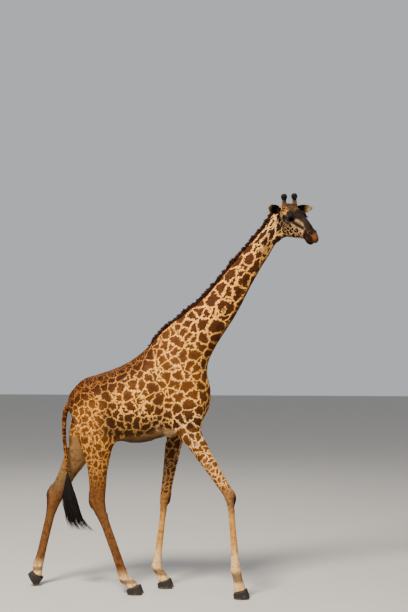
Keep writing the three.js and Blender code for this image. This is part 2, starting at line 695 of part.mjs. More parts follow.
for (const [name, leg] of Object.entries(LEGS)) {
  const [outer, inner] = [1000, 10];
  const low = [-3000, leg.side === LEFT ? inner : -outer, -100];
  const high = [3000, leg.side === LEFT ? outer : -inner, LEG_TOP[name]];
  const bone = onLeg(leg, 1.6).sub(onLeg(leg, 1.2)).normalize();
  const split = { point: onLeg(leg, BELOW_JOINT), normal: bone };
  const upper = meshAlong(
    bodyField, onLeg(leg, BELOW_JOINT + 0.1), onLeg(leg, 0).lerp(split.point, -0.35), 330, 150,
    [42, 40, 84],
  );
  flesh.set(`${name}_upper`, keepAll(upper.intersect(region(low, high)), opposite(split)));
  const { coronet, slope } = footFrame(leg);
  const lower = meshAlong(
    legFields[name], coronet.clone().add(V(0, 0, -40)), onLeg(leg, BELOW_JOINT - 0.1), 260, 90,
    [28, 26, 72],
  );
  flesh.set(`${name}_lower`, keepAll(lower, split, { point: coronet, normal: slope }));
  const below = region([onLeg(leg, 0).x - 420, low[1], 1300],
    [onLeg(leg, 0).x + 420, high[1], LEG_TOP[name] + GAP]);
  flesh.set("trunk", flesh.get("trunk").subtract(below));
}

// ---------------------------------------------------------------- pieces set into the flesh
const setIn = new Map([
  ["mane", { geometry: maneGeometry(), seats: ["neck", "trunk", "head"] }],
  ["tail", { geometry: hangingTube(TAIL, 8, 9), seats: ["trunk"] }],
  ["tail_tuft", { geometry: hangingTube(TAIL_TUFT, 10, 10), seats: ["tail"] }],
]);
for (const [word, side] of [["right", RIGHT], ["left", LEFT]]) {
  setIn.set(`ossicone_${word}`, { geometry: ossiconeGeometry(side), seats: ["head"] });
  const ear = earGeometry(side);
  setIn.set(`ear_${word}`, { geometry: ear, seat: spread(ear, 2 * GAP), seats: ["head", "neck"] });
  const eye = new THREE.SphereGeometry(EYE.radius, 10, 6);
  const place = onHead(EYE.s, side * EYE.l, EYE.u);
  setIn.set(`eye_${word}`, { geometry: eye.translate(...place), seats: ["head"] });
}
for (const [name, leg] of Object.entries(LEGS))
  for (const [word, side] of [["outer", leg.side], ["inner", -leg.side]]) {
    const geometry = hoofGeometry(leg, side);
    setIn.set(`${name}_hoof_${word}`, { geometry, seats: [], cut: footFrame(leg) });
  }

const solids = new Map(flesh);
for (const [name, { geometry, seats, seat = grown(geometry, GAP), cut }] of setIn) {
  let solid = solidOf(geometry);
  if (cut) solid = keepAll(solid, { point: cut.coronet, normal: cut.slope.clone().negate() });
  solids.set(name, keepAll(solid, { point: V(), normal: V(0, 0, 1) }));
  for (const host of seats) solids.set(host, solids.get(host).subtract(seat));
}

// ---------------------------------------------------------------- colours and the model
const COLOURS = [
  { part: "mane", color: 0x4a2a1c, roughness: 0.9 },
  { part: "tail_tuft", color: 0x17130f, roughness: 0.8 },
  { part: "ossicone", color: 0x2a1d16, roughness: 0.85 },
  { part: "eye", color: 0x120c08, roughness: 0.15 },
  { part: "hoof", color: 0x39322b, roughness: 0.7 },
  { part: "", color: 0xb58a58, roughness: 0.85 },
];

const figure = new THREE.Group();
for (const [name, solid] of solids) {
  const { color, roughness } = COLOURS.find(({ part }) => name.includes(part));
  const material = new THREE.MeshStandardMaterial({ color, roughness, metalness: 0 });
  const mesh = new THREE.Mesh(geometryOf(largest(solid)), material);
  mesh.name = name;
  figure.add(mesh);
}
// The whole figure moved so the middle of its footprint is the origin, on the ground.
const bounds = new THREE.Box3().setFromObject(figure);
const middle = bounds.getCenter(V());
figure.position.set(-middle.x, -middle.y, -bounds.min.z);

const model = new THREE.Group();
model.add(figure);
export default model;
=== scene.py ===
# A Masai giraffe cow at life size: skin and coat, mane, tail, horns, eyes and hooves.
import math

import bmesh
import bpy
import numpy as np
from mathutils import Matrix, Vector
from mathutils.bvhtree import BVHTree


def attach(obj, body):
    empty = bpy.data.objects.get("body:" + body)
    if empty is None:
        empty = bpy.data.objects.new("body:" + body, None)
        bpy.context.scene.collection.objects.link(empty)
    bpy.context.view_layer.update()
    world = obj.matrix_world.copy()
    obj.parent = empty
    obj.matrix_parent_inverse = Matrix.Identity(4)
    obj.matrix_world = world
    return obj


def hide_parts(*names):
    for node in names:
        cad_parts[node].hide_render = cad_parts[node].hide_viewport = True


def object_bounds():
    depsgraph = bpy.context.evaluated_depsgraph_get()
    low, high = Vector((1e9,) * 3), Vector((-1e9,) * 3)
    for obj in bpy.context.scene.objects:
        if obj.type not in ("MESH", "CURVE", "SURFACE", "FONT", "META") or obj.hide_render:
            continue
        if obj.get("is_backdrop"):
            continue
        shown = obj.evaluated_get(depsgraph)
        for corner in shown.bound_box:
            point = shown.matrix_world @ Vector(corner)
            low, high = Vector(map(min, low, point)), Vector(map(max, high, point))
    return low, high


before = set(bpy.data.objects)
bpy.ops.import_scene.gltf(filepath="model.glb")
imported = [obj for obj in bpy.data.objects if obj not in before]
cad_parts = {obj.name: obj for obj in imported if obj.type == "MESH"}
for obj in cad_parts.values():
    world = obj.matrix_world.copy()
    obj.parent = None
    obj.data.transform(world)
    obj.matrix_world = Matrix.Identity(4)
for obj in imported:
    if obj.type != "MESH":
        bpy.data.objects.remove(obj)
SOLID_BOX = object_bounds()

# ---------------------------------------------------------------- the animal's measures
# Metres and degrees. The body's own frame has its mid-plane at y = 0; HOME moves it to the model's.
HOME = np.array([-0.2196, 0.0272, -0.0002])
RIGHT, LEFT = -1, 1
SIDES = {"right": RIGHT, "left": LEFT}
# Each leg's side, then its top, its knee or hock, its fetlock and its coronet.
LEGS = {
    "fore_right": (RIGHT, [
        (0.470, 0.195, 1.590), (0.850, 0.178, 0.995), (0.907, 0.170, 0.280), (0.946, 0.170, 0.072)]),
    "fore_left": (LEFT, [
        (0.240, 0.195, 1.620), (0.125, 0.192, 0.920), (0.042, 0.194, 0.212), (0.120, 0.194, 0.072)]),
    "hind_right": (RIGHT, [
        (-0.508, 0.160, 1.560), (-0.500, 0.148, 0.900), (-0.226, 0.136, 0.158), (-0.132, 0.134, 0.072)]),
    "hind_left": (LEFT, [
        (-0.700, 0.152, 1.540), (-1.042, 0.140, 0.905), (-1.205, 0.126, 0.210), (-1.214, 0.122, 0.114)]),
}
LEG_TOP = {"fore_right": 1.550, "fore_left": 1.496, "hind_right": 1.470, "hind_left": 1.440}
NECK_FOOT = np.array([0.436, 0.0, 2.550])
NECK_LINE = np.array([0.5977, 0.0, 0.8019])
POLL = np.array([1.428, -0.058, 3.935])
HEAD_YAW, HEAD_PITCH, HEAD_ROLL, HEAD_SCALE = 46.0, 32.5, 9.0, 0.96
EYE_AT, EYE_RADIUS = (0.178, 0.106, -0.078), 0.0250
LID_HALF, LID_UP, LID_DOWN = 0.0235, 0.0128, 0.0105
EAR_ROOT, EAR_LONG = (-0.006, 0.070, -0.084), 0.238
EAR_AIM = {"right": (0.30, 0.90, 0.34), "left": (0.36, 0.90, 0.20)}
HORN_FOOT, HORN_LONG, HORN_LEAN = (0.050, 0.067, -0.030), 0.150, 27
# Lines of x and z on the mid-plane.
TAIL_LINE = [(-0.800, 1.925), (-0.880, 1.850), (-0.904, 1.730), (-0.903, 1.560), (-0.886, 1.400),
             (-0.868, 1.250), (-0.858, 1.128)]
TUFT_LINE = [(-0.859, 1.180), (-0.857, 1.100), (-0.856, 1.000), (-0.842, 0.890), (-0.806, 0.780),
             (-0.752, 0.690), (-0.672, 0.612), (-0.585, 0.572)]
TUFT_BACK = [(-0.900, 1.180), (-0.922, 1.100), (-0.926, 1.000), (-0.922, 0.900), (-0.902, 0.800),
             (-0.888, 0.700), (-0.874, 0.606)]
TUFT_FRONT = [(-0.832, 1.180), (-0.802, 1.090), (-0.775, 0.960), (-0.745, 0.840), (-0.712, 0.734),
              (-0.648, 0.650), (-0.538, 0.576)]
# The tuft's half width at each of its edges' points.
TUFT_HALF = [0.025, 0.034, 0.046, 0.050, 0.048, 0.042, 0.030]
BACK = [(-0.835, 1.965), (-0.735, 2.085), (-0.620, 2.170), (-0.475, 2.228), (-0.290, 2.300),
        (-0.180, 2.365), (-0.040, 2.475), (0.105, 2.635)]
CREST = [(1.330, 3.905), (1.262, 3.850), (1.168, 3.700), (1.040, 3.555), (0.830, 3.305), (0.625, 3.060),
         (0.415, 2.870), (0.260, 2.760), (0.105, 2.635), (0.020, 2.535), (-0.020, 2.498)]
MANE_HEIGHT = 0.050
MAP, MAP_PATCH = "OFBake", 0.003


def unit(v):
    return v / np.maximum(np.linalg.norm(v, axis=-1, keepdims=True), 1e-9)


def mirrored(side, spots):
    return [np.array([x, side * y, z]) for x, y, z in spots]


def head_axes():
    yaw, pitch = math.radians(HEAD_YAW), math.radians(HEAD_PITCH)
    level = math.cos(pitch)
    forward = Vector((level * math.cos(yaw), -level * math.sin(yaw), -math.sin(pitch)))
    level_left = Vector((math.sin(yaw), math.cos(yaw), 0))
    left = Matrix.Rotation(math.radians(HEAD_ROLL), 3, forward) @ level_left
    return np.array(forward), np.array(left), np.array(forward.cross(left))


FORWARD, SIDE, UP = head_axes()


def on_head(s, l, u):
    """A point given down the head, to its left and up from the poll."""
    return POLL + HEAD_SCALE * (s * FORWARD + l * SIDE + u * UP)


def in_head(co):
    """Body points as distance down the head, to its left and up."""
    away = (co - POLL) / HEAD_SCALE
    return away @ FORWARD, away @ SIDE, away @ UP


def up_neck(co):
    return (co - NECK_FOOT) @ NECK_LINE


def ear_lines():
    """Each ear's root, tip and the way its hollow faces."""
    ears = {}
    for name, side in SIDES.items():
        a, b, c = EAR_AIM[name]
        aim = unit(a * FORWARD + side * b * SIDE + c * UP)
        root = on_head(EAR_ROOT[0], side * EAR_ROOT[1], EAR_ROOT[2])
        faces = FORWARD + 0.4 * UP
        ears[name] = (root, root + aim * EAR_LONG * HEAD_SCALE, unit(faces - aim * (faces @ aim)))
    return ears


def eye_places():
    """Each eye's centre, and the ways it looks, towards the nose and towards the brow."""
    eyes = {}
    for name, side in SIDES.items():
        outward = unit(on_head(0, side, 0) - on_head(0, 0, 0))
        centre = on_head(EYE_AT[0], side * EYE_AT[1], EYE_AT[2]) - outward * 0.0015
        look = unit(0.30 * FORWARD + side * 0.94 * SIDE - 0.06 * UP)
        fore = unit(FORWARD - look * (FORWARD @ look))
        brow = np.cross(look, fore) * -side
        eyes[name] = (centre, look, fore, brow if brow @ UP > 0 else -brow)
    return eyes


EARS = ear_lines()
EYES = eye_places()


# ---------------------------------------------------------------- numbers
def ease(x, low, high):
    t = np.clip((np.asarray(x, float) - low) / (high - low), 0, 1)
    return t * t * (3 - 2 * t)


def bell(distance, width, power=2):
    return np.exp(-((distance / width) ** power))


def lump(co, centre, sizes):
    """1 at the centre of a soft ellipsoid, falling to nothing outside it."""
    away = (co - np.asarray(centre)) / np.asarray(sizes)
    return np.exp(-1.5 * (away ** 2).sum(1))


def middle(values):
    return (values[1:] + values[:-1]) / 2


def running(steps):
    return np.concatenate([[0], np.cumsum(steps)])


def along_line(co, line):
    """Distance from each point to a broken line, and how far along it, 0 to 1."""
    line = np.asarray(line, float)
    lengths = np.linalg.norm(np.diff(line, axis=0), axis=1)
    total = lengths.sum()
    best = np.full(len(co), 9.0)
    share = np.zeros(len(co))
    walked = 0.0
    for a, b, length in zip(line[:-1], line[1:], lengths):
        t = np.clip(((co - a) @ (b - a)) / length ** 2, 0, 1)
        d = np.linalg.norm(co - a - t[:, None] * (b - a), axis=1)
        near = d < best
        best[near] = d[near]
        share[near] = (walked + t[near] * length) / total
        walked += length
    return best, share


def curve_points(line, count):
    line = np.asarray(line, float)
    walk = running(np.linalg.norm(np.diff(line, axis=0), axis=1))
    at = np.linspace(0, walk[-1], count)
    return np.stack([np.interp(at, walk, line[:, k]) for k in range(line.shape[1])], 1)


# ---------------------------------------------------------------- meshes
def read(items, name, width, kind=np.float32):
    values = np.empty(len(items) * width, kind)
    items.foreach_get(name, values)
    return values.reshape(-1, width)


def points(mesh):
    return read(mesh.vertices, "co", 3).astype(float)


def normals(mesh):
    return read(mesh.vertex_normals, "vector", 3).astype(float)


def place(mesh, co):
    mesh.vertices.foreach_set("co", co.astype(np.float32).ravel())
    mesh.update()


def relax(values, pairs, weight, turns):
    """Draws each vertex's values towards its neighbours' mean, by its own weight."""
    a, b = pairs[:, 0], pairs[:, 1]
    count = len(values)
    degree = np.maximum(np.bincount(a, minlength=count) + np.bincount(b, minlength=count), 1)
    out = values.copy()
    for _ in range(turns):
        for k in range(out.shape[1]):
            column = out[:, k]
            total = np.bincount(a, column[b], count) + np.bincount(b, column[a], count)
            out[:, k] = column + weight * (total / degree - column)
    return out


def soften(mesh, co, weight, turns):
    """Smooths a surface and gives back, turn by turn, the form that smoothing takes away."""
    pairs = read(mesh.edges, "vertices", 2, np.int32)
    soft = relax(co, pairs, weight, turns[0])
    for more in turns[1:]:
        soft = soft + relax(co - soft, pairs, weight, more)
    return soft


def new_object(name, mesh):
    piece = bpy.data.objects.new(name, mesh)
    bpy.context.scene.collection.objects.link(piece)
    return piece


def into_mesh(bm, name):
    mesh = bpy.data.meshes.new(name)
    bm.to_mesh(mesh)
    bm.free()
    return mesh


def finished(piece):
    """Applies the piece's modifiers to its mesh."""
    tree = bpy.context.evaluated_depsgraph_get()
    mesh = bpy.data.meshes.new_from_object(piece.evaluated_get(tree))
    old = piece.data
    piece.modifiers.clear()
    piece.data = mesh
    bpy.data.meshes.remove(old)
    return mesh


def smooth_faces(mesh):
    mesh.polygons.foreach_set("use_smooth", np.ones(len(mesh.polygons), bool))


def dress(piece, finish, slot, *replaces):
    """Gives a piece its finish and sets it on the body in place of its solids; its slot is not used."""
    piece.data.materials.append(finish)
    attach(piece, "root")
    if replaces:
        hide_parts(*replaces)


def gather(bm, node, grow=0.0, shift=(0, 0, 0)):
    """Adds a merged copy of a solid to bm, a little larger and moved."""
    part = bmesh.new()
    part.from_mesh(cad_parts[node].data)
    bmesh.ops.remove_doubles(part, verts=part.verts, dist=1e-5)
    part.normal_update()
    offset = Vector(shift)
    for v in part.verts:
        v.co += v.normal * grow + offset
    mesh = into_mesh(part, "part")
    bm.from_mesh(mesh)
    bpy.data.meshes.remove(mesh)


def one_surface(name, parts, cell):
    """A closed surface round several solids, each given as (node, growth, shift)."""
    bm = bmesh.new()
    for part in parts:
        gather(bm, *part)
    piece = new_object(name, into_mesh(bm, name))
    remesh = piece.modifiers.new("one surface", "REMESH")
    remesh.mode = "VOXEL"
    remesh.voxel_size = cell
    finished(piece)
    return piece


# ---------------------------------------------------------------- the skin's shape
FLESH = ["trunk", "neck", "head", "tail", "ear_right", "ear_left"]
FLESH += [f"{leg}_{part}" for leg in LEGS for part in ("upper", "lower")]
# The grain at which solids become one surface, and how far the skin then lies under them.
SKIN_CELL, HORN_CELL, HOOF_CELL = 0.006, 0.0026, 0.0034
BODY_DEPTH, LEG_DEPTH, FACE_DEPTH, EAR_DEPTH, FOOT_DEPTH = 0.0045, 0.003, 0.0022, 0.0012, 0.0006
SKIN_TRIANGLES = 190000


def raw_skin():
    parts = [(node, 0.001) for node in FLESH + ["eye_right", "eye_left"]]
    parts += [("ossicone_right", -0.004), ("ossicone_left", -0.004)]
    parts.append(("mane", 0.001, (0.035, 0, -0.028)))
    return one_surface("skin", parts, SKIN_CELL)


def leg_place(co):
    """For each point: which leg it is on, or -1, and how far down that leg, 0 to 3."""
    which = np.full(len(co), -1)
    down = np.zeros(len(co))
    x, y, z = co.T
    for i, (name, (side, joints)) in enumerate(LEGS.items()):
        bone_x, _, bone_z = np.array(joints[::-1]).T
        mine = (z < LEG_TOP[name] + 0.12) & (y * side > -0.01)
        mine &= np.abs(x - np.interp(z, bone_z, bone_x)) < 0.30
        mine &= (x > -0.1) == name.startswith("fore")
        which[mine] = i
        down[mine] = np.interp(z, bone_z, [3, 2, 1, 0])[mine]
    return which, down


def head_share(co):
    s, _, u = in_head(co)
    return ease(s - 0.25 * ease(-u, 0.10, 0.32), -0.14, -0.02) * ease(co[:, 2], 3.28, 3.40)


def face_share(co):
    s, _, u = in_head(co)
    return head_share(co) * ease(s - 0.30 * ease(-u, 0.14, 0.34), -0.01, 0.06)


def ear_share(co):
    _, l, _ = in_head(co)
    near = np.zeros(len(co))
    for root, tip, _ in EARS.values():
        near = np.maximum(near, ease(-along_line(co, [root, tip])[0], -0.074, -0.060))
    return near * ease(np.abs(l), 0.100, 0.125)


def tail_share(co):
    x, y, _ = co.T
    d, _ = along_line(co[:, [0, 2]], TAIL_LINE + TUFT_LINE)
    return ease(-d, -0.075, -0.05) * ease(-x, 0.84, 0.87) * ease(-np.abs(y), -0.075, -0.06)


def smooth_skin(mesh):
    co = points(mesh) - HOME
    weight = np.full(len(co), 0.6)
    low = ease(-co[:, 2], -1.58, -1.38)
    for share, firm in ((low, 0.10), (tail_share(co), 0.07), (head_share(co), 0.035), (ear_share(co), 0.015)):
        weight = weight * (1 - share) + firm * share
    place(mesh, soften(mesh, co, weight, (80, 80)) + HOME)


def refine(mesh, chosen):
    """Cuts every face edge between chosen vertices in two."""
    bm = bmesh.new()
    bm.from_mesh(mesh)
    bm.verts.ensure_lookup_table()
    edges = [e for e in bm.edges if chosen[e.verts[0].index] and chosen[e.verts[1].index]]
    bmesh.ops.subdivide_edges(bm, edges=edges, cuts=1, use_grid_fill=True, smooth=0.6)
    bm.to_mesh(mesh)
    bm.free()


# Bones, muscles and hollows: a line of points, its width, and its height off the skin.
BODY_FORMS = [
    ([(0.13, 0.17, 2.42), (0.27, 0.23, 2.18), (0.40, 0.23, 1.95)], 0.040, 0.011),
    ([(0.00, 0.20, 2.36), (0.10, 0.27, 2.10), (0.17, 0.29, 1.80)], 0.040, -0.017),
    ([(0.34, 0.18, 2.36), (0.45, 0.20, 2.12)], 0.045, -0.010),
    ([(0.47, 0.20, 1.93), (0.46, 0.21, 1.86)], 0.060, 0.014),
    ([(1.27, 0.06, 3.52), (0.98, 0.08, 3.08), (0.72, 0.10, 2.62), (0.60, 0.12, 2.25)], 0.034, -0.011),
    ([(1.12, 0.07, 3.46), (0.84, 0.09, 3.10), (0.60, 0.11, 2.78), (0.38, 0.15, 2.55)], 0.050, 0.006),
    ([(-0.42, 0.22, 2.04), (-0.38, 0.24, 1.86)], 0.085, -0.020),
    ([(-0.43, 0.17, 2.19), (-0.47, 0.19, 2.12)], 0.048, 0.018),
    ([(-0.78, 0.10, 1.99), (-0.80, 0.11, 1.93)], 0.040, 0.012),
    ([(-0.62, 0.24, 1.98), (-0.70, 0.24, 1.75), (-0.73, 0.20, 1.50)], 0.036, -0.010),
    ([(-0.40, 0.23, 2.02), (-0.37, 0.26, 1.80), (-0.33, 0.25, 1.60)], 0.030, -0.016),
]
RIBS, RIB_START, RIB_STEP = 9, -0.36, 0.050
# The same on the head, down it, out to the side and up.
FACE_FORMS = [
    ([(0.120, 0.085, -0.040), (0.095, 0.080, -0.070)], 0.020, -0.008),
    ([(0.235, 0.085, -0.135), (0.300, 0.072, -0.150), (0.370, 0.058, -0.158)], 0.013, 0.005),
    ([(0.260, 0.075, -0.080), (0.340, 0.060, -0.095), (0.420, 0.050, -0.110)], 0.026, -0.007),
    ([(0.100, 0.085, -0.215), (0.165, 0.080, -0.235)], 0.052, 0.007),
    ([(0.205, 0.074, -0.215), (0.300, 0.062, -0.205)], 0.028, -0.009),
    ([(0.020, 0.076, -0.170), (0.045, 0.080, -0.235), (0.060, 0.070, -0.300)], 0.018, -0.006),
    ([(0.480, 0.048, -0.075), (0.515, 0.046, -0.088)], 0.016, 0.004),
]
NOSE_FORMS = [
    ([(0.30, 0, -0.01), (0.44, 0, -0.045)], 0.030, 0.004),
    ([(0.130, 0, 0.02), (0.165, 0, 0.015)], 0.034, 0.007),
]


def leg_forms(name):
    """Tendons, dew claws, and the hollows round the knee, hock and pastern."""
    top, mid, fetlock, coronet = mirrored(*LEGS[name])
    fore = name.startswith("fore")
    bone, upper = unit(fetlock - mid), unit(mid - top)
    front = np.array([-bone[2], 0, bone[0]])
    upper_front = np.array([-upper[2], 0, upper[0]])
    forms = []
    for across in (RIGHT, LEFT):
        wide = np.array([0, across, 0])
        tendon = [mid + bone * 0.12 + wide * 0.03 - front * 0.008,
                  fetlock - bone * 0.08 + wide * 0.03 - front * 0.010]
        ankle = fetlock + bone * 0.02
        forms += [(tendon, 0.011, -0.006), ([ankle + wide * 0.045, ankle + wide * 0.05], 0.028, 0.004)]
        if fore:
            groove = [mid - upper * 0.34 + wide * 0.06 + upper_front * 0.02,
                      mid - upper * 0.06 + wide * 0.05 + upper_front * 0.008]
            muscle = [mid - upper * 0.52 + wide * 0.08 - upper_front * 0.03,
                      mid - upper * 0.22 + wide * 0.06 - upper_front * 0.03]
            forms += [(groove, 0.016, -0.006), (muscle, 0.030, 0.006)]
        else:
            hollow = [mid - upper * 0.30 + wide * 0.035 - upper_front * 0.055,
                      mid - upper * 0.05 + wide * 0.035 - upper_front * 0.050]
            knuckle = [mid + wide * 0.045 + upper_front * 0.01, mid + bone * 0.06 + wide * 0.04]
            forms += [(hollow, 0.018, -0.012), (knuckle, 0.026, 0.005)]
    forms += [
        ([fetlock - front * 0.05, fetlock - front * 0.055 + bone * 0.02], 0.030, 0.007),
        ([coronet + front * 0.07 - bone * 0.03, coronet + front * 0.07 + bone * 0.02], 0.010, -0.008),
        ([coronet - front * 0.06 - bone * 0.05, coronet - front * 0.07 + bone * 0.01], 0.012, -0.010),
    ]
    if fore:
        forms += [
            ([mid + front * 0.06 - upper * 0.05, mid + front * 0.06 + bone * 0.03], 0.036, 0.006),
            ([mid - upper * 0.10 + front * 0.07, mid - upper * 0.09 + front * 0.07], 0.022, -0.004),
        ]
    else:
        point = [mid - upper * 0.10 - upper_front * 0.095, mid + bone * 0.02 - front * 0.10]
        forms.append((point, 0.020, 0.008))
    return forms


def all_forms():
    forms = []
    for side in (RIGHT, LEFT):
        forms += [(mirrored(side, spots), width, height) for spots, width, height in BODY_FORMS]
        for x in RIB_START + RIB_STEP * np.arange(RIBS):
            rib = mirrored(side, [(x, 0.24, 2.22), (x - 0.01, 0.29, 1.95), (x + 0.05, 0.27, 1.68)])
            forms.append((rib, 0.013, 0.0035))
    for name in LEGS:
        forms += leg_forms(name)
    for side in (RIGHT, LEFT):
        for spots, width, height in FACE_FORMS:
            forms.append(([on_head(s, side * l, u) for s, l, u in spots], width, height))
    forms += [([on_head(*spot) for spot in spots], width, height) for spots, width, height in NOSE_FORMS]
    return forms


def raise_forms(co, out, forms):
    for line, width, height in forms:
        line = np.asarray(line)
        low, high = line.min(0) - 2.6 * width, line.max(0) + 2.6 * width
        near = np.flatnonzero(((co > low) & (co < high)).all(1))
        if not len(near):
            continue
        d, t = along_line(co[near], line)
        fade = 0.35 + 0.65 * np.sin(np.pi * np.clip(t, 0.03, 0.97)) if len(line) > 2 else 1.0
        co[near] += out[near] * (height * fade * bell(d, width))[:, None]


def carve_eye(co, eye):
    """Opens the skin inside the lids' almond, and rolls the lids and a crease round the eyeball."""
    centre, look, fore, brow = eye
    away = co - centre
    a, out = away @ fore, away @ look
    b = away @ brow + 0.10 * a
    spread = np.hypot(a, b)
    almond = np.where(b > 0, LID_UP, LID_DOWN) * np.maximum(1 - (a / LID_HALF) ** 2, 0) ** 0.75
    near = (np.linalg.norm(away, axis=1) < 0.06) & (out > -0.004)
    radial = unit(away)
    inside = near & (np.abs(b) < np.maximum(almond, 1e-4)) & (np.abs(a) < LID_HALF)
    past = np.maximum(np.abs(b) - almond, 0)
    past = np.where(np.abs(a) > LID_HALF, np.hypot(np.abs(a) - LID_HALF, b), past)
    lid = EYE_RADIUS + 0.0012 + 0.0022 * bell(past - 0.0035, 0.0030) + 0.0006 * bell(past, 0.010)
    hold = near & ~inside & (spread < 0.036)
    crease = 0.0022 * bell(past - 0.0105, 0.0022) * (b > 0)
    target = centre + radial * lid[:, None] - radial * crease[:, None]
    blend = 1 - ease(spread, 0.024, 0.036)
    co[hold] += (target[hold] - co[hold]) * blend[hold][:, None]
    co[inside] = centre + radial[inside] * (EYE_RADIUS - 0.006)


NOSTRIL = [(0.490, 0.044, -0.096), (0.512, 0.042, -0.088), (0.530, 0.033, -0.096)]
MOUTH = [(0.395, 0.056, -0.178), (0.450, 0.050, -0.176), (0.510, 0.043, -0.172), (0.560, 0.026, -0.166)]
MOUTH_TIP = (0.583, 0.0, -0.160)


def carve_muzzle(co, out):
    """A slanting slit with a raised wing above it for each nostril, and the mouth's line with its lips."""
    _, _, u = in_head(co)
    for side in (RIGHT, LEFT):
        d, _ = along_line(co, [on_head(s, side * l, high) for s, l, high in NOSTRIL])
        co -= out * (0.013 * bell(d, 0.0065))[:, None]
        co += out * (0.0028 * bell(d - 0.013, 0.0055))[:, None]
    left, right = ([on_head(s, side * l, high) for s, l, high in MOUTH] for side in (LEFT, RIGHT))
    d, _ = along_line(co, left + [on_head(*MOUTH_TIP)] + right[::-1])
    near = d < 0.03
    co[near] -= out[near] * (0.0065 * bell(d[near], 0.0042))[:, None]
    lip = 0.0022 + 0.0012 * ease(u, -0.176, -0.160)[near]
    co[near] += out[near] * (lip * bell(d[near] - 0.010, 0.0055))[:, None]


def shape_skin(skin):
    mesh = skin.data
    smooth_skin(mesh)
    co = points(mesh) - HOME
    refine(mesh, (head_share(co) > 0.5) & (ear_share(co) < 0.9) | (ear_share(co) > 0.5))
    for radius in (0.060, 0.040):
        co = points(mesh) - HOME
        fine = np.zeros(len(co), bool)
        for centre, look, _, _ in EYES.values():
            fine |= np.linalg.norm(co - centre - look * 0.012, axis=1) < radius
        if radius > 0.05:
            fine |= (in_head(co)[0] > 0.39) & (np.abs(co[:, 2] - 3.6) < 0.4)
        refine(mesh, fine)
    co = points(mesh) - HOME
    out = normals(mesh)
    _, down = leg_place(co)
    low = ease(-co[:, 2], -1.55, -1.35)
    depth = BODY_DEPTH * (1 - low) + LEG_DEPTH * low
    feet = ease(down, 2.4, 2.75)
    for share, value in ((head_share(co), FACE_DEPTH), (ear_share(co), EAR_DEPTH), (feet, FOOT_DEPTH)):
        depth = depth * (1 - share) + value * share
    co -= out * depth[:, None]
    raise_forms(co, out, all_forms())
    carve_muzzle(co, out)
    for eye in EYES.values():
        carve_eye(co, eye)
    place(mesh, co + HOME)
    thin = skin.modifiers.new("thin", "DECIMATE")
    thin.ratio = SKIN_TRIANGLES / (len(mesh.loops) - 2 * len(mesh.polygons))
    mesh = finished(skin)
    smooth_faces(mesh)
    return mesh


def unwrap(piece):
    """Cuts the skin's surface into flat charts: the map that skin and coat share."""
    piece.data.uv_layers.new(name=MAP)
    bpy.context.view_layer.objects.active = piece
    piece.select_set(True)
    bpy.ops.object.mode_set(mode="EDIT")
    bpy.ops.mesh.select_all(action="SELECT")
    bpy.ops.uv.smart_project(angle_limit=math.radians(72), island_margin=0.0012, area_weight=0.4)
    bpy.ops.object.mode_set(mode="OBJECT")
    piece.select_set(False)


# ---------------------------------------------------------------- colours of the coat
def tone(code):
    """A colour written as on screen, made linear."""
    parts = [int(code[i:i + 2], 16) / 255 for i in (0, 2, 4)]
    return np.array([c / 12.92 if c <= 0.04045 else ((c + 0.055) / 1.055) ** 2.4 for c in parts])


CREAM, PALE, SHADED_BELLY, TAN, RUST = map(tone, ("e2a04c", "e4a552", "463424", "97582a", "874412"))
ROSE, SOCK, PASTERN, HOCK, SHADED_INNER = map(tone, ("dd9a48", "dfb47e", "66523a", "6b4626", "6b5236"))
NECK_PATCH, BODY_PATCH, RUMP_PATCH = map(tone, ("432410", "5c3513", "6c4018"))
RIDGE_PATCH, ARM_PATCH, THIGH_PATCH = map(tone, ("2a1509", "7a4517", "5c3413"))
THROAT_SHADE, SHADED_LOW_PATCH, DUST_AND_SHADE = map(tone, ("4c2a10", "38210f", "3c2a1a"))
BROW, EYE_DARK, MUZZLE, CHIN, CHEEK = map(tone, ("1d1511", "060504", "5c381d", "1a0e09", "cda06e"))
EAR_BACK, EAR_SHADE_AND_TIP, EAR_HAIR, STREAK = map(tone, ("8d7048", "100b09", "d8bd8e", "150e0b"))
TEMPLE, UNDER_EYE, NECK_TOP, NECK_TOP_PATCH = map(tone, ("c48c50", "644f3d", "c79b66", "24150b"))

# Patches to the metre on the body, how many more on the rump, and on the face.
BODY_CELLS, RUMP_CELLS, FACE_CELLS = 9.8, 3.4, 22.0
# Patches to the metre at a leg's top, and how many more further down.
FORE_CELLS, HIND_CELLS = (9.0, 14.0), (12.5, 13.0)
# Patches shrink from this x towards the rump, over this reach and about this height.
RUMP_X, RUMP_REACH, WAIST = -0.20, 0.45, 1.95


def rump_cells(back):
    return BODY_CELLS + RUMP_CELLS * ease(back, 0.0, RUMP_REACH)


def rump_grown(back):
    xs = np.linspace(0, 1.2, 60)
    return np.interp(back, xs, running(rump_cells(middle(xs)) * np.diff(xs)))


def trunk_cells(co):
    """Where each point of the trunk lies among its patches."""
    x, y, z = co.T
    back = np.maximum(RUMP_X - x, 0)
    k = rump_cells(back)
    along = BODY_CELLS * np.maximum(x, RUMP_X) - rump_grown(back)
    return np.stack([along, k * y, BODY_CELLS * WAIST + k * (z - WAIST)], 1)


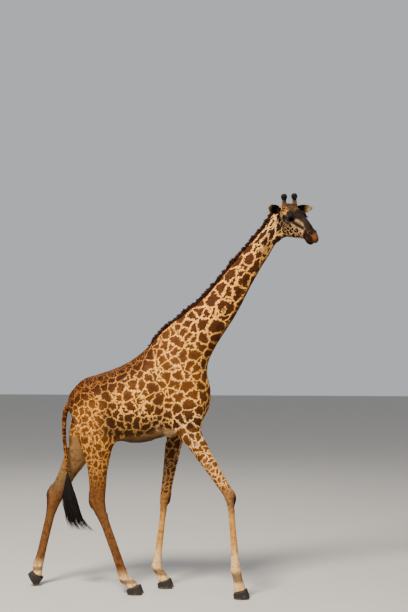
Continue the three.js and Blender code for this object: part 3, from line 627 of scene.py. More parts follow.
def neck_cells(co):
    """Patches shrink towards the head and grow longer along the neck."""
    def k_neck(v):
        fewer = 1.6 * ease(v, 0.4, 0.9) - 1.6 * ease(v, 0.0, 0.4)
        return BODY_CELLS + fewer + 5.2 * ease(v, 0.8, 1.55) + 9.0 * ease(v, 1.30, 1.75)
    t = up_neck(co)
    up = np.maximum(t, 0)
    ts = np.linspace(0, 2.6, 120)
    stretch = 1 - 0.20 * ease(ts, 0.1, 0.5) - 0.36 * ease(ts, 0.7, 1.5)
    risen = np.interp(up, ts, running(k_neck(middle(ts)) * middle(stretch) * np.diff(ts)))
    off = co - NECK_FOOT - t[:, None] * NECK_LINE
    return BODY_CELLS * NECK_FOOT + NECK_LINE * risen[:, None] + k_neck(up)[:, None] * off


def leg_cells(co, out, name, joints):
    """Small spots that follow the bone: their map, the facing there, and how much of both holds."""
    fore = name.startswith("fore")
    top_z = LEG_TOP[name] + (0.06 if fore else 0.22)
    x, y, z = co.T
    none = np.zeros(len(co))
    bone_x, _, bone_z = np.array(joints[::-1]).T
    height = np.minimum(z, top_z)
    tilt = (np.interp(height - 0.12, bone_z, bone_x) - np.interp(height + 0.12, bone_z, bone_x)) / 0.24
    down_line = unit(np.stack([tilt, none, none - 1], 1))
    front = np.stack([-down_line[:, 2], none, down_line[:, 0]], 1)
    walk = running(np.hypot(np.diff(bone_x[::-1]), np.diff(bone_z[::-1])))[::-1]
    off = np.stack([x - np.interp(height, bone_z, bone_x), none, z - height], 1)
    slip = (off * down_line).sum(1)
    fallen = np.interp(height, bone_z, walk) - np.interp(top_z, bone_z, walk) + slip
    zs = np.linspace(-0.3, 2.2, 160)
    at_top, more = FORE_CELLS if fore else HIND_CELLS
    k = at_top + more * ease(zs, 0.0, 0.62)
    sunk = running(middle(k) * np.diff(zs))
    sunk -= np.interp(0.0, zs, sunk)
    k_here = np.interp(fallen, zs, k)
    top_x = np.interp(top_z, bone_z, bone_x)
    back = max(RUMP_X - top_x, 0)
    start = BODY_CELLS * max(top_x, RUMP_X) - rump_grown(back)
    level = BODY_CELLS * WAIST + rump_cells(back) * (top_z - WAIST)
    forward = start + k_here * (off * front).sum(1)
    cells = np.stack([forward, k_here * y, level - np.interp(fallen, zs, sunk)], 1)
    turned = np.stack([(out * front).sum(1), out[:, 1], -(out * down_line).sum(1)], 1)
    return cells, turned, ease(top_z - z, 0.0, 0.16)


def cells_map(co, out):
    """Where each point lies among the patches, a smooth map with patches 1 wide, and its facing there."""
    cells = np.where((up_neck(co) > 0)[:, None], neck_cells(co), trunk_cells(co))
    facing = out
    which, _ = leg_place(co)
    for i, (name, (_, joints)) in enumerate(LEGS.items()):
        leg, turned, share = leg_cells(co, out, name, joints)
        share = ((which == i) * share)[:, None]
        cells = cells + (leg - cells) * share
        facing = facing + (turned - facing) * share
    # The face's small round spots start from the throat's.
    hinge = on_head(0.06, 0, -0.12)
    face = neck_cells(hinge[None])[0] + FACE_CELLS * (co - hinge)
    return cells + (face - cells) * face_share(co)[:, None], facing


# Painted shade in the folds at the flank and behind the shoulder: a line, its width and its strength.
SHADED_CREASES = [
    ([(-0.40, 0.23, 2.02), (-0.37, 0.26, 1.80), (-0.33, 0.25, 1.56)], 0.045, 0.60),
    ([(0.06, 0.24, 2.16), (0.12, 0.27, 1.98), (0.17, 0.29, 1.78)], 0.050, 0.50),
]


def paint(colours, *layers):
    """Lays each (tone, share) over the colours in turn."""
    for shade, share in layers:
        colours = colours + (shade - colours) * np.clip(share, 0, 1)[:, None]
    return colours


def leg_paint(co, out, i, which, down, ground, patch, cover, gap):
    name, (side, joints) = list(LEGS.items())[i]
    mine = (which == i).astype(float)
    fore = name.startswith("fore")
    inner = ease(out[:, 1] * -side, 0.15, 0.65) * mine * ease(down, -0.35, 0.0)
    if fore:
        patch = paint(patch, (ARM_PATCH, mine * ease(down, -0.1, 0.5)))
        ground = paint(
            ground,
            (SOCK, 0.55 * mine * ease(-down, -0.85, -0.60)),
            (HOCK, 0.80 * mine * ease(down, 0.72, 0.95)),
            (CREAM, 0.55 * mine * ease(down, 1.10, 1.35)))
        gap = gap + mine * 0.05 * ease(down, 0.0, 0.8)
        cover = cover * (1 - mine * ease(down, 0.86, 1.02))
    else:
        patch = paint(patch, (THIGH_PATCH, mine * ease(down, 0.0, 0.4)))
        ground = paint(
            ground,
            (HOCK, 0.45 * mine * ease(down, -0.05, 0.35)),
            (HOCK, mine * ease(down, 0.35, 0.85)))
        gap = gap + mine * 0.02 * ease(down, 0.0, 0.7)
        cover = cover * (1 - mine * (0.45 * ease(down, 0.50, 0.95) + 0.55 * ease(down, 0.95, 1.25)))
    cover = cover * (1 - (0.15 if fore else 0.8) * inner)
    # Painted shade on the legs' inner sides: darker patches and a darker ground.
    patch = paint(patch, (RIDGE_PATCH, 0.8 * inner))
    ground = paint(
        ground,
        (SHADED_INNER, 0.85 * inner * ease(-down, -0.98, -0.75)),
        (SOCK, mine * ease(down, *((1.62, 1.88) if fore else (1.86, 2.04)))),
        (PASTERN, 0.85 * mine * ease(-np.abs(down - 2.35), -0.34, -0.12)))
    if fore:
        knee = mirrored(side, joints)[1] + (0.062, 0, -0.03)
        ground = paint(ground, (CHIN, 1.7 * lump(co, knee, (0.045, 0.060, 0.075))))
    else:
        back = mine * ease(-out[:, 0], 0.2, 0.75)
        ground = paint(
            ground,
            (CHIN, 0.75 * back * ease(-np.abs(down - 1.0), -0.30, -0.05)),
            (DUST_AND_SHADE, 0.5 * back * ease(down, 1.0, 1.2) * ease(-down, -1.9, -1.5)))
    return ground, patch, cover, gap


def face_paint(ground, face, top, s, l, u):
    """Dark brow, nose and eye patch, pale spotted cheek, tan muzzle, and painted shade in the nostrils and
    along the mouth's slit.
    """
    profile = np.stack([s, u], 1)
    wide = np.abs(l)

    def band(width, spots, power=2):
        return face * bell(along_line(profile, spots)[0], width, power)
    return paint(
        ground,
        (CHEEK, face),
        (TEMPLE, 0.9 * face * ease(-s, -0.21, -0.12) * ease(u, -0.13, -0.06)),
        (UNDER_EYE, 0.95 * band(0.042, [(0.150, -0.120), (0.250, -0.088), (0.370, -0.080)], 4)),
        (UNDER_EYE, 0.95 * band(0.062, [(0.070, -0.160), (0.140, -0.200), (0.140, -0.280)], 4)),
        (UNDER_EYE, 0.95 * band(0.032, [(0.235, -0.052), (0.310, -0.048), (0.400, -0.050)], 4)),
        (CHEEK, 0.36 * band(0.014, [(0.265, -0.060), (0.305, -0.057), (0.375, -0.064)])),
        (BROW, 0.97 * face * top * ease(s, 0.165, 0.200)),
        (BROW, 0.97 * ease(wide, 0.026, 0.045)
         * band(0.036, [(0.160, -0.030), (0.190, -0.036), (0.240, -0.020)], 4)),
        (UNDER_EYE, 0.5 * band(0.024, [(0.330, -0.014), (0.390, -0.030)]) * top),
        (STREAK, 1.1 * band(0.020, [(0.245, -0.096), (0.315, -0.102), (0.390, -0.098)])),
        (BROW, 0.92 * band(0.033, [(0.415, -0.055), (0.450, -0.080), (0.435, -0.130), (0.425, -0.200)], 4)),
        (BROW, 0.8 * face * ease(-u, 0.225, 0.275) * ease(s, 0.05, 0.2)),
        (BROW, 0.8 * face * ease(s, 0.405, 0.435)),
        (MUZZLE, face * ease(s, 0.475, 0.515)),
        (BROW, 0.9 * face * top * ease(-s, -0.560, -0.510)),
        (CHIN, 0.95 * band(0.034, [(0.455, -0.142), (0.515, -0.140), (0.545, -0.148)], 4) * (1 - top)),
        (CHIN, 0.9 * face * ease(-u, 0.168, 0.190) * ease(s, 0.40, 0.45)),
        (EYE_DARK, 1.3 * ease(wide, 0.055, 0.075)
         * band(0.028, [(0.090, -0.112), (0.150, -0.094), (0.200, -0.080), (0.228, -0.066)], 4)),
        # Painted shade in the nostrils' slits and along the mouth's slit.
        (EYE_DARK, band(0.011, [(0.500, -0.090), (0.528, -0.090)]) * ease(wide, 0.012, 0.02)),
        (EYE_DARK, 0.8 * band(0.006, [(0.395, -0.180), (0.510, -0.174), (0.580, -0.161)])))


def ear_paint(ground, co, out, ears, l, u):
    """Tan backs, a hollow painted dark as its shade with pale hair in it, and a dark tip."""
    ground = paint(ground, (EAR_BACK, ears))
    for name, side in SIDES.items():
        root, tip, faces = EARS[name]
        own = ears * (l * side > 0)
        run = (co - root) @ unit(tip - root) / np.linalg.norm(tip - root)
        hollow = ease(out @ faces, -0.05, 0.45) * own
        ground = paint(
            ground,
            # The hollow is painted dark as its shade; the tip is dark of its own.
            (EAR_SHADE_AND_TIP, hollow * ease(-run, -0.86, -0.55)),
            (EAR_HAIR, 0.75 * hollow * ease(-u, 0.085, 0.12) * ease(run, 0.25, 0.5)),
            (EAR_SHADE_AND_TIP, 0.6 * own * ease(run, 0.93, 1.0)))
    return ground


def skin_marks(co, out):
    """Per point: ground tone, patch tone, and (strength, half gap, share split small) of the patches."""
    x, _, z = co.T
    s, l, u = in_head(co)
    face, ears, tail = face_share(co), ear_share(co), tail_share(co)
    which, down = leg_place(co)
    t = up_neck(co)
    neck, neck_top = ease(t, -0.15, 0.2), ease(t, 0.95, 1.45)
    trunk = 1 - neck
    off_legs = trunk * (which < 0)
    over_back = z - np.interp(x, *np.transpose(BACK))
    ridge = ease(over_back, -0.34, -0.10) * trunk * ease(-x, -0.25, 0.05)
    under = ease(z, 1.35, 1.5) * ease(-z, -1.85, -1.62) * ease(-np.abs(x + 0.1), -0.75, -0.45)
    belly = ease(-out[:, 2], 0.40, 0.92) * under * trunk
    flank = ease(-z, -1.90, -1.55) * ease(z, 1.38, 1.45) * ease(-np.abs(x + 0.12), -0.40, -0.28) * off_legs
    forward = out @ np.cross([0, 1, 0], NECK_LINE)
    bare_neck = neck * (1 - face)
    ground = paint(
        np.tile(PALE, (len(co), 1)),
        (CREAM, neck),
        (ROSE, ease(-x, 0.0, 0.5) * trunk),
        (RUST, 0.80 * ridge),
        (RIDGE_PATCH, 0.55 * ease(over_back, -0.15, -0.02) * ridge),
        # Painted shade: the belly and the lower flank are darkened as if in shadow.
        (SHADED_BELLY, np.maximum(belly, 0.70 * flank)),
        (SOCK, 0.55 * ease(x, 0.22, 0.40) * ease(-z, -1.90, -1.65) * trunk),
        (NECK_TOP, 0.75 * neck_top),
        # Painted shade: the front of the neck, towards the throat, is darkened.
        (THROAT_SHADE, 0.75 * ease(forward, 0.45, 0.95) * bare_neck),
        (TAN, 0.8 * ease(-forward, 0.55, 0.95) * bare_neck))
    patch = paint(
        np.tile(BODY_PATCH, (len(co), 1)),
        (NECK_PATCH, neck),
        (RUMP_PATCH, ease(-x, 0.3, 0.6) * trunk),
        (RIDGE_PATCH, ridge),
        # Painted shade: patches darker low on the trunk.
        (SHADED_LOW_PATCH, ease(-z, -2.0, -1.7) * off_legs * ease(x + 0.5, 0.0, 0.2)),
        # Painted shade: the belly's and lower flank's patches are darkened.
        (DUST_AND_SHADE, 0.8 * np.maximum(belly, 0.6 * flank)),
        (NECK_TOP_PATCH, neck_top))
    for side in (RIGHT, LEFT):
        # Painted shade along each fold, on the ground and on the patches.
        for crease, width, share in SHADED_CREASES:
            shade = share * bell(along_line(co, mirrored(side, crease))[0], width)
            ground = paint(ground, (SHADED_BELLY, shade))
            patch = paint(patch, (RIDGE_PATCH, shade))
    cover = 1 - 0.72 * belly
    gap = 0.044 + 0.008 * neck + 0.01 * belly + 0.012 * ease(t, 0.9, 1.3)
    for i in range(len(LEGS)):
        ground, patch, cover, gap = leg_paint(co, out, i, which, down, ground, patch, cover, gap)
    # A pale fold behind the elbow.
    for side in (RIGHT, LEFT):
        fold = lump(co, (0.13, side * 0.27, 1.62), (0.07, 0.09, 0.13))
        ground = paint(ground, (SOCK, fold))
        cover = cover * (1 - 0.8 * fold)
    ground = paint(ground, (RUST, tail * 0.8))
    ground = face_paint(ground, face, ease(out @ UP, 0.25, 0.65), s, l, u)
    ground = ear_paint(ground, co, out, ears, l, u)
    patch = paint(patch, (RIDGE_PATCH, tail), (STREAK, face))
    dots = face * ease(-s, -0.42, -0.36) * ease(-u, 0.118, 0.145)
    swirls = face * ease(-s, -0.18, -0.14) * ease(u, -0.13, -0.09)
    cover = (cover * (1 - face) + np.maximum(dots, 0.55 * swirls)) * (1 - ears)
    gap = gap * (1 - face) + face * 0.035
    split = np.maximum(ridge, tail) * (1 - face)
    return ground, patch, np.stack([np.clip(cover, 0, 1), gap, np.clip(split, 0, 1)], 1)


def lie_map(co):
    """Metres along the hair's run, and across it, for the fine hair relief."""
    x, y, z = co.T
    slope = unit(np.array([0.9, 0, 0.35]))
    rise = unit(np.array([-0.35, 0, 0.9]))
    body = np.stack([co @ slope, y, co @ rise], 1)
    neck = np.stack([co @ NECK_LINE, y, co @ np.cross(NECK_LINE, [0, 1, 0])], 1)
    lie = np.where((up_neck(co) > 0)[:, None], neck, body)
    lie = np.where((z < 1.5)[:, None], np.stack([z, y, x], 1), lie)
    return np.where((head_share(co) > 0.5)[:, None], np.stack(in_head(co), 1), lie)


def hair_way(co, out):
    """The direction that the coat lies in at each point: back along head and body, down the limbs."""
    way = np.tile(np.array([-0.75, 0, -0.66]), (len(co), 1))
    neck = ease(up_neck(co), -0.1, 0.2)[:, None]
    way = way * (1 - neck) + (-NECK_LINE + np.array([-0.35, 0, 0])) * neck
    low = ease(-co[:, 2], -1.75, -1.45)[:, None]
    way = way * (1 - low) + np.array([-0.12, 0, -1.0]) * low
    head = head_share(co)[:, None]
    way = way * (1 - head) + (-FORWARD - 0.15 * UP) * head
    for root, tip, _ in EARS.values():
        close = np.linalg.norm(co - (root + tip) / 2, axis=1) < 0.16
        ear = (ear_share(co) * close)[:, None]
        way = way * (1 - ear) + unit(tip - root) * ear
    return unit(way - out * (way * out).sum(1)[:, None])


def write(mesh, name, values, kind="FLOAT"):
    layer = mesh.attributes.new(name, kind, "POINT")
    values = np.asarray(values, np.float32)
    if kind == "FLOAT_COLOR":
        values = np.concatenate([values, np.ones((len(values), 1), np.float32)], 1)
    field = {"FLOAT_COLOR": "color", "FLOAT_VECTOR": "vector", "FLOAT": "value"}[kind]
    layer.data.foreach_set(field, values.ravel())


# What each point of skin and coat carries for its colours and its hair.
MARKS = {"ground": "FLOAT_COLOR", "patch": "FLOAT_COLOR", "scheme": "FLOAT_VECTOR", "cells": "FLOAT_VECTOR",
         "facing": "FLOAT_VECTOR", "lie": "FLOAT_VECTOR"}


def all_marks(mesh):
    co = points(mesh) - HOME
    soft = unit(soften(mesh, normals(mesh), 0.6, (6,)))
    ground, patch, scheme = skin_marks(co, soft)
    cells, facing = cells_map(co, soft)
    return {"ground": ground, "patch": patch, "scheme": scheme, "cells": cells, "facing": facing,
            "lie": lie_map(co), "out": soft}


# ---------------------------------------------------------------- materials
def wire_step(operation, turned=False):
    """A method that adds one Math or Vector Math node; turned swaps its two sides."""
    def method(self, other):
        first, second = (other, self) if turned else (self, other)
        kind = "ShaderNodeVectorMath" if self.socket.type in ("VECTOR", "RGBA") else "ShaderNodeMath"
        return self.finish.node(kind, {"operation": operation}, {0: first, 1: second})
    return method


class Wire:
    """An output socket; arithmetic on it adds Math or Vector Math nodes."""

    def __init__(self, finish, socket):
        self.finish = finish
        self.socket = socket

    __add__, __radd__ = wire_step("ADD"), wire_step("ADD", True)
    __sub__, __rsub__ = wire_step("SUBTRACT"), wire_step("SUBTRACT", True)
    __mul__, __rmul__ = wire_step("MULTIPLY"), wire_step("MULTIPLY", True)
    __truediv__ = wire_step("DIVIDE")
    low, high = wire_step("MINIMUM"), wire_step("MAXIMUM")

    def out(self, name):
        return Wire(self.finish, self.socket.node.outputs[name])


class Finish:
    """A material being built. node() adds any node and returns its first output, or a named one."""

    def __init__(self, name, **constant):
        self.material = bpy.data.materials.new(name)
        self.material.use_nodes = True
        self.tree = self.material.node_tree
        self.tree.nodes.clear()
        self.shader = self.tree.nodes.new("ShaderNodeBsdfPrincipled")
        end = self.tree.nodes.new("ShaderNodeOutputMaterial")
        self.tree.links.new(self.shader.outputs[0], end.inputs[0])
        self.set(**constant)

    def node(self, kind, settings, inputs, output=0):
        made = self.tree.nodes.new(kind)
        for name, value in settings.items():
            setattr(made, name, value)
        for name, value in inputs.items():
            self.put(made.inputs[name], value)
        return Wire(self, made.outputs[output])

    def put(self, socket, value):
        if isinstance(value, Wire):
            self.tree.links.new(value.socket, socket)
        elif socket.type == "RGBA":
            socket.default_value = (*value[:3], 1)
        else:
            socket.default_value = value

    def spot(self):
        return self.node("ShaderNodeTexCoord", {}, {}, "Object")

    def own(self, name, output="Vector"):
        return self.node("ShaderNodeAttribute", {"attribute_name": name}, {}, output)

    def noise(self, where, scale, detail, rough, output=0):
        values = {"Vector": where, "Scale": scale, "Detail": detail, "Roughness": rough}
        return self.node("ShaderNodeTexNoise", {}, values, output)

    def step(self, value, low, high):
        return self.node("ShaderNodeMapRange", {"interpolation_type": "SMOOTHSTEP"},
                         {"Value": value, "From Min": low, "From Max": high})

    def mix(self, first, second, share, way="MIX"):
        """Mixes two colours; 6, 7 and 2 are the node's sockets for colours."""
        return self.node("ShaderNodeMix", {"data_type": "RGBA", "blend_type": way},
                         {0: share, 6: first, 7: second}, 2)

    def stretch(self, where, sizes):
        return self.node("ShaderNodeMapping", {}, {"Vector": where, "Scale": sizes})

    def bump(self, height, depth, strength, **more):
        values = {"Height": height, "Distance": depth, "Strength": strength}
        return self.node("ShaderNodeBump", {}, {**values, **more})

    def set(self, **sockets):
        for name, value in sockets.items():
            self.put(self.shader.inputs[name.replace("_", " ")], value)
        return self.material


def cell_edge(f, where, facing, scale, spread):
    """Distance within the surface to the nearest border of a cell, and the cell itself."""
    settings = {"Vector": where, "Scale": scale, "Randomness": spread}
    near = f.node("ShaderNodeTexVoronoi", {"feature": "F1"}, settings, "Distance")
    beyond = f.node("ShaderNodeTexVoronoi", {"feature": "F2"}, settings, "Distance")
    apart = beyond.out("Position") - near.out("Position")
    length = f.node("ShaderNodeVectorMath", {"operation": "LENGTH"}, {0: apart}, "Value")
    edge = (beyond * beyond - near * near) / (length * (2.0 * scale))
    lean = f.node("ShaderNodeVectorMath", {"operation": "DOT_PRODUCT"}, {0: apart, 1: facing}, "Value")
    lean = lean / length
    flat = f.node("ShaderNodeMath", {"operation": "SQRT"}, {0: (1.0 - lean * lean).high(0.12)})
    return edge / flat, near


def hide_finish(name, tufts):
    """Skin and coat: the same patches, from the maps that each point carries."""
    f = Finish(name, Specular_IOR_Level=0.04)
    cells, facing, lie = f.own("cells"), f.own("facing"), f.own("lie")
    cover = f.node("ShaderNodeSeparateXYZ", {}, {"Vector": f.own("scheme")})
    gap, splits = cover.out("Y"), cover.out("Z")
    broad = f.noise(cells, 1.4, 1.0, 0.5, "Color") - (0.5, 0.5, 0.5)
    small = f.noise(cells, 4.5, 1.0, 0.5, "Color") - (0.5, 0.5, 0.5)
    bent = cells + broad * (0.60, 0.60, 0.60) + small * (0.09, 0.09, 0.09)
    edge, near = cell_edge(f, bent, facing, 1.0, 0.85)
    fine, _ = cell_edge(f, bent + (3.7, 1.9, 5.3), facing, 1.9, 0.9)
    # Notches run in from the border towards the middle of a patch, as on a vine leaf.
    ray = f.node("ShaderNodeVectorMath", {"operation": "NORMALIZE"}, {0: bent - near.out("Position")})
    ray = ray + near.out("Color") * (9.0, 9.0, 9.0)
    fingers = f.step(f.noise(ray, 3.9, 0.0, 0.5), 0.53, 0.66)
    whole = 1.0 - splits
    within = (edge - gap - fingers * 0.12 * whole).low((fine - 0.034) * 0.53 + whole * 0.5)
    mask = f.step(within, -0.012, 0.016) * f.step(cover, 0.15, 0.75)
    spot = f.spot()
    mottle = f.noise(spot, 9.0, 3.0, 0.6)
    blotch = f.noise(spot, 33.0, 2.0, 0.6)
    fleck = f.noise(lie, 60.0, 3.0, 0.65)
    hair = f.noise(f.stretch(lie, (45.0, 420.0, 420.0)), 1.0, 2.0, 0.6)
    plain = 1.0 - cover
    ground = f.own("ground", "Color")
    ground = f.mix(ground, ground * (0.52, 0.38, 0.27), f.step(mottle, 0.45, 0.8) * (0.25 + 0.30 * plain))
    ground = f.mix(ground, ground * (0.42, 0.36, 0.30), f.step(blotch, 0.46, 0.68) * (0.14 + 0.56 * plain))
    heart = f.step(edge, 0.10, 0.40) * f.step(mottle, 0.3, 0.7) * 0.5
    patch = f.mix(f.own("patch", "Color"), (0.030, 0.011, 0.004), heart)
    patch = f.mix(patch, (0.19, 0.075, 0.026), f.step(fleck, 0.52, 0.75) * 0.22)
    shade = 0.80 + 0.22 * hair + 0.18 * fleck
    grey = f.node("ShaderNodeCombineColor", {}, {"Red": shade, "Green": shade, "Blue": shade})
    colour = f.mix(f.mix(ground, patch, mask), grey, 1.0, "MULTIPLY")
    rough = 0.62 + 0.16 * hair - 0.05 * mask
    if tufts:
        return f.set(Base_Color=colour, Roughness=rough)
    relief = f.bump(hair * 0.7 + fleck * 0.3, 0.0010, 0.7)
    wrinkle = f.noise(f.stretch(lie, (26.0, 60.0, 60.0)), 1.0, 3.0, 0.55)
    return f.set(Base_Color=colour, Roughness=rough, Normal=f.bump(wrinkle, 0.0035, 0.35, Normal=relief))


def hair_finish(name, dark, light, reach):
    """Long hair: dark and lighter locks, streaked along their length."""
    f = Finish(name, Specular_IOR_Level=0.12)
    streak = f.noise(f.stretch(f.spot(), reach), 1.0, 2.0, 0.6)
    lock = f.own("lock", "Fac")
    colour = f.mix(tone(dark), tone(light), f.step(streak * 0.6 + lock * 0.6, 0.35, 0.9))
    return f.set(Base_Color=colour, Roughness=0.52 + 0.25 * streak, Normal=f.bump(streak, 0.0008, 0.5))


def horn_finish():
    """Brown mottled hair up the stem, black round the crown."""
    f = Finish("horn_hair", Specular_IOR_Level=0.15)
    spot = f.spot()
    streak = f.noise(f.stretch(spot, (300, 300, 60)), 1.0, 3.0, 0.6)
    mottle = f.noise(spot, 38.0, 3.0, 0.6)
    stem = f.mix(tone("33241a"), tone("8a5426"), f.step(mottle, 0.35, 0.7))
    crown = f.step(f.own("tip", "Fac") + (mottle - 0.5) * 0.25, 0.35, 0.6)
    colour = f.mix(stem, (0.0045, 0.0035, 0.0035), crown)
    return f.set(Base_Color=colour, Roughness=0.55 + 0.25 * streak, Normal=f.bump(streak, 0.0012, 0.8))


def eye_finish():
    f = Finish("eye_wet", Roughness=0.05, Specular_IOR_Level=0.6, Coat_Weight=1.0, Coat_Roughness=0.03)
    spot = f.spot()
    brown = f.mix((0.012, 0.006, 0.004), (0.045, 0.020, 0.010), f.noise(spot, 900.0, 2.0, 0.6))
    white = f.mix((0.05, 0.028, 0.02), (0.12, 0.075, 0.055), f.noise(spot, 300.0, 3.0, 0.6))
    colour = f.mix(white, brown, f.step(f.own("iris", "Fac"), 0.4, 0.6))
    return f.set(Base_Color=f.mix(colour, (0.002, 0.002, 0.003), f.step(f.own("pupil", "Fac"), 0.4, 0.6)))


def hoof_finish():
    """Dark horn with growth rings and grain, dusty near the ground."""
    f = Finish("hoof_horn", Specular_IOR_Level=0.4)
    spot = f.spot()
    rings = f.noise(f.stretch(spot, (12, 12, 230)), 1.0, 2.0, 0.6)
    grain = f.noise(f.stretch(spot, (500, 500, 40)), 1.0, 3.0, 0.6)
    high = f.node("ShaderNodeSeparateXYZ", {}, {"Vector": spot}, "Z")
    dust = f.noise(spot, 26.0, 4.0, 0.6)
    colour = f.mix((0.008, 0.006, 0.005), (0.028, 0.020, 0.014), f.step(rings * 0.6 + grain * 0.4, 0.35, 0.7))
    colour = f.mix(colour, (0.23, 0.16, 0.10), f.step(dust + (0.03 - high) * 6.0, 0.5, 0.9) * 0.6)
    relief = f.bump(rings * 0.7 + grain * 0.3, 0.0016, 0.8)
    return f.set(Base_Color=colour, Roughness=0.45 + 0.3 * dust, Normal=relief)


# ---------------------------------------------------------------- tufts
class Surface:
    """A skin's triangles with all that their corners carry, to root hairs on."""

    def __init__(self, mesh, marks):
        mesh.calc_loop_triangles()
        self.tri = read(mesh.loop_triangles, "vertices", 3, np.int32)
        uv = read(mesh.uv_layers[MAP].data, "uv", 2)
        self.uv = uv[read(mesh.loop_triangles, "loops", 3, np.int32)]
        self.marks = {**marks, "co": points(mesh) - HOME}
        a, b, c = (self.marks["co"][self.tri[:, k]] for k in range(3))
        self.area = np.linalg.norm(np.cross(b - a, c - a), axis=1) / 2
        self.middle = (a + b + c) / 3

    def roots(self, wanted, weight, rng):
        """Random places, thicker where the weight is larger."""
        chance = self.area * weight
        chosen = rng.choice(len(chance), wanted, p=chance / chance.sum())
        r = np.sqrt(rng.random(wanted))[:, None]
        v = rng.random(wanted)[:, None]
        share = np.concatenate([1 - r, r * (1 - v), r * v], 1)[:, :, None]
        found = {name: (values[self.tri[chosen]] * share).sum(1) for name, values in self.marks.items()}
        found["uv"] = (self.uv[chosen] * share).sum(1)
        found["out"] = unit(found["out"])
        return found


def hair_faces(rows):
    """Faces of one closed three-sided hair with that many rings and a point."""
    faces = [(0, 2, 1)]
    for i in range(rows - 1):
        for a, b in ((0, 1), (1, 2), (2, 0)):
            p, q = 3 * i + a, 3 * i + b
            faces += [(p, q, q + 3), (p, q + 3, p + 3)]
    last = 3 * (rows - 1)
    return np.array(faces + [(last + a, last + b, rows * 3) for a, b in ((0, 1), (1, 2), (2, 0))])


def strands(name, spine, across, out, width, thick, uv, rng, finish, slot, marks, *replaces):
    """One mesh of tapering closed hairs along the given middle lines."""
    n, rows = spine.shape[0], spine.shape[1] - 1
    per = rows * 3 + 1
    verts = np.empty((n, per, 3))
    corner = np.zeros((per, 2))
    for i in range(rows):
        t = i / rows
        fat = (1 - t ** 1.6) * (0.55 + 2.4 * t * (1 - t))
        half = across * (width * 0.5 * fat)[:, None]
        verts[:, 3 * i] = spine[:, i] - half
        verts[:, 3 * i + 1] = spine[:, i] + half
        verts[:, 3 * i + 2] = spine[:, i] + out * (thick * fat)[:, None]
        corner[3 * i:3 * i + 3] = (-0.5, t - 0.5), (0.5, t - 0.5), (0.0, t - 0.5)
    verts[:, -1] = spine[:, -1]
    corner[-1] = (0, 0.5)
    faces = (hair_faces(rows)[None] + (np.arange(n) * per)[:, None, None]).reshape(-1, 3)
    mesh = bpy.data.meshes.new(name)
    mesh.vertices.add(n * per)
    mesh.loops.add(len(faces) * 3)
    mesh.polygons.add(len(faces))
    mesh.vertices.foreach_set("co", (verts.reshape(-1, 3) + HOME).astype(np.float32).ravel())
    mesh.loops.foreach_set("vertex_index", faces.astype(np.int32).ravel())
    mesh.polygons.foreach_set("loop_start", np.arange(len(faces), dtype=np.int32) * 3)
    mesh.update(calc_edges=True)
    smooth_faces(mesh)
    flat = (uv[:, None, :] + corner[None] * MAP_PATCH).reshape(-1, 2)
    flat = np.clip(flat[faces.ravel()], 0.001, 0.999)
    mesh.uv_layers.new(name=MAP).data.foreach_set("uv", flat.astype(np.float32).ravel())
    for key, values in marks.items():
        write(mesh, key, np.repeat(values, per, 0), MARKS.get(key, "FLOAT"))
    write(mesh, "lock", np.repeat(rng.random(n), per))
    dress(new_object(name, mesh), finish, slot, *replaces)


def lying(root, out, way, length, thick, lift, droop, rows):
    """Middle lines of hairs that leave the skin at an angle and bend back towards it."""
    spine = np.empty((len(root), rows + 1, 3))
    for i in range(rows + 1):
        t = i / rows
        angle = lift * (1 - droop * t)
        run = (length * t)[:, None]
        spine[:, i] = root + run * (way * np.cos(angle)[:, None] + out * np.sin(angle)[:, None])
        spine[:, i] -= out * (thick * 0.6 * (1 - t))[:, None]
    return spine


def size_here(co):
    """Tufts are smaller on the lower legs and the face."""
    low = ease(-co[:, 2], -1.3, -0.7)
    return (1 - 0.35 * low) * (1 - 0.55 * head_share(co) * (1 - ear_share(co)))


def coat(name, surface, count, share, length, width, thick, lift, rng, finish):
    """Short lying tufts over part of the skin. length, width and lift are (least, most)."""
    roots = surface.roots(count, share, rng)
    out, size = roots["out"], size_here(roots["co"])
    way = hair_way(roots["co"], out)
    turn = rng.normal(0, 0.16, count)[:, None]
    way = unit(way + np.cross(out, way) * turn)
    long = rng.uniform(*length, count) * size
    thin = np.full(count, thick) * size
    spine = lying(roots["co"], out, way, long, thin, rng.uniform(*lift, count), droop=1.1, rows=2)
    wide = rng.uniform(*width, count) * size
    marks = {key: roots[key] for key in MARKS}
    strands(name, spine, unit(np.cross(out, way)), out, wide, thin, roots["uv"], rng, finish, "coat", marks)


# The heights between which the legs' tufts grow, and the bare ring round each eye.
LEG_HAIR_TOP, LEG_HAIR_END, EYE_CLEAR = 1.35, 0.09, 0.036


def coats(surface, rng):
    finish = hide_finish("coat_hair", tufts=True)
    mid = surface.middle
    z = mid[:, 2]
    t = up_neck(mid)
    face = head_share(mid) * (1 - 0.8 * ease(in_head(mid)[0], 0.44, 0.52)) * (1 + ear_share(mid))
    for eye in EYES.values():
        face = face * (np.linalg.norm(mid - eye[0], axis=1) > EYE_CLEAR)
    trunk = (t <= 0) * (z > LEG_HAIR_TOP) * 1.0
    neck = (t > 0) * (1 - head_share(mid))
    legs = (z <= LEG_HAIR_TOP) * (z > LEG_HAIR_END) * 1.0
    for name, count, share, length, width, thick, lift in (
            ("coat_trunk", 17000, trunk, (0.016, 0.026), (0.005, 0.008), 0.0018, (0.02, 0.10)),
            ("coat_neck", 12000, neck, (0.014, 0.022), (0.004, 0.007), 0.0016, (0.02, 0.10)),
            ("coat_legs", 12000, legs, (0.014, 0.022), (0.004, 0.006), 0.0014, (0.02, 0.09)),
            ("coat_head", 12000, face, (0.012, 0.018), (0.003, 0.005), 0.0011, (0.02, 0.12))):
        coat(name, surface, count, share, length, width, thick, lift, rng, finish)


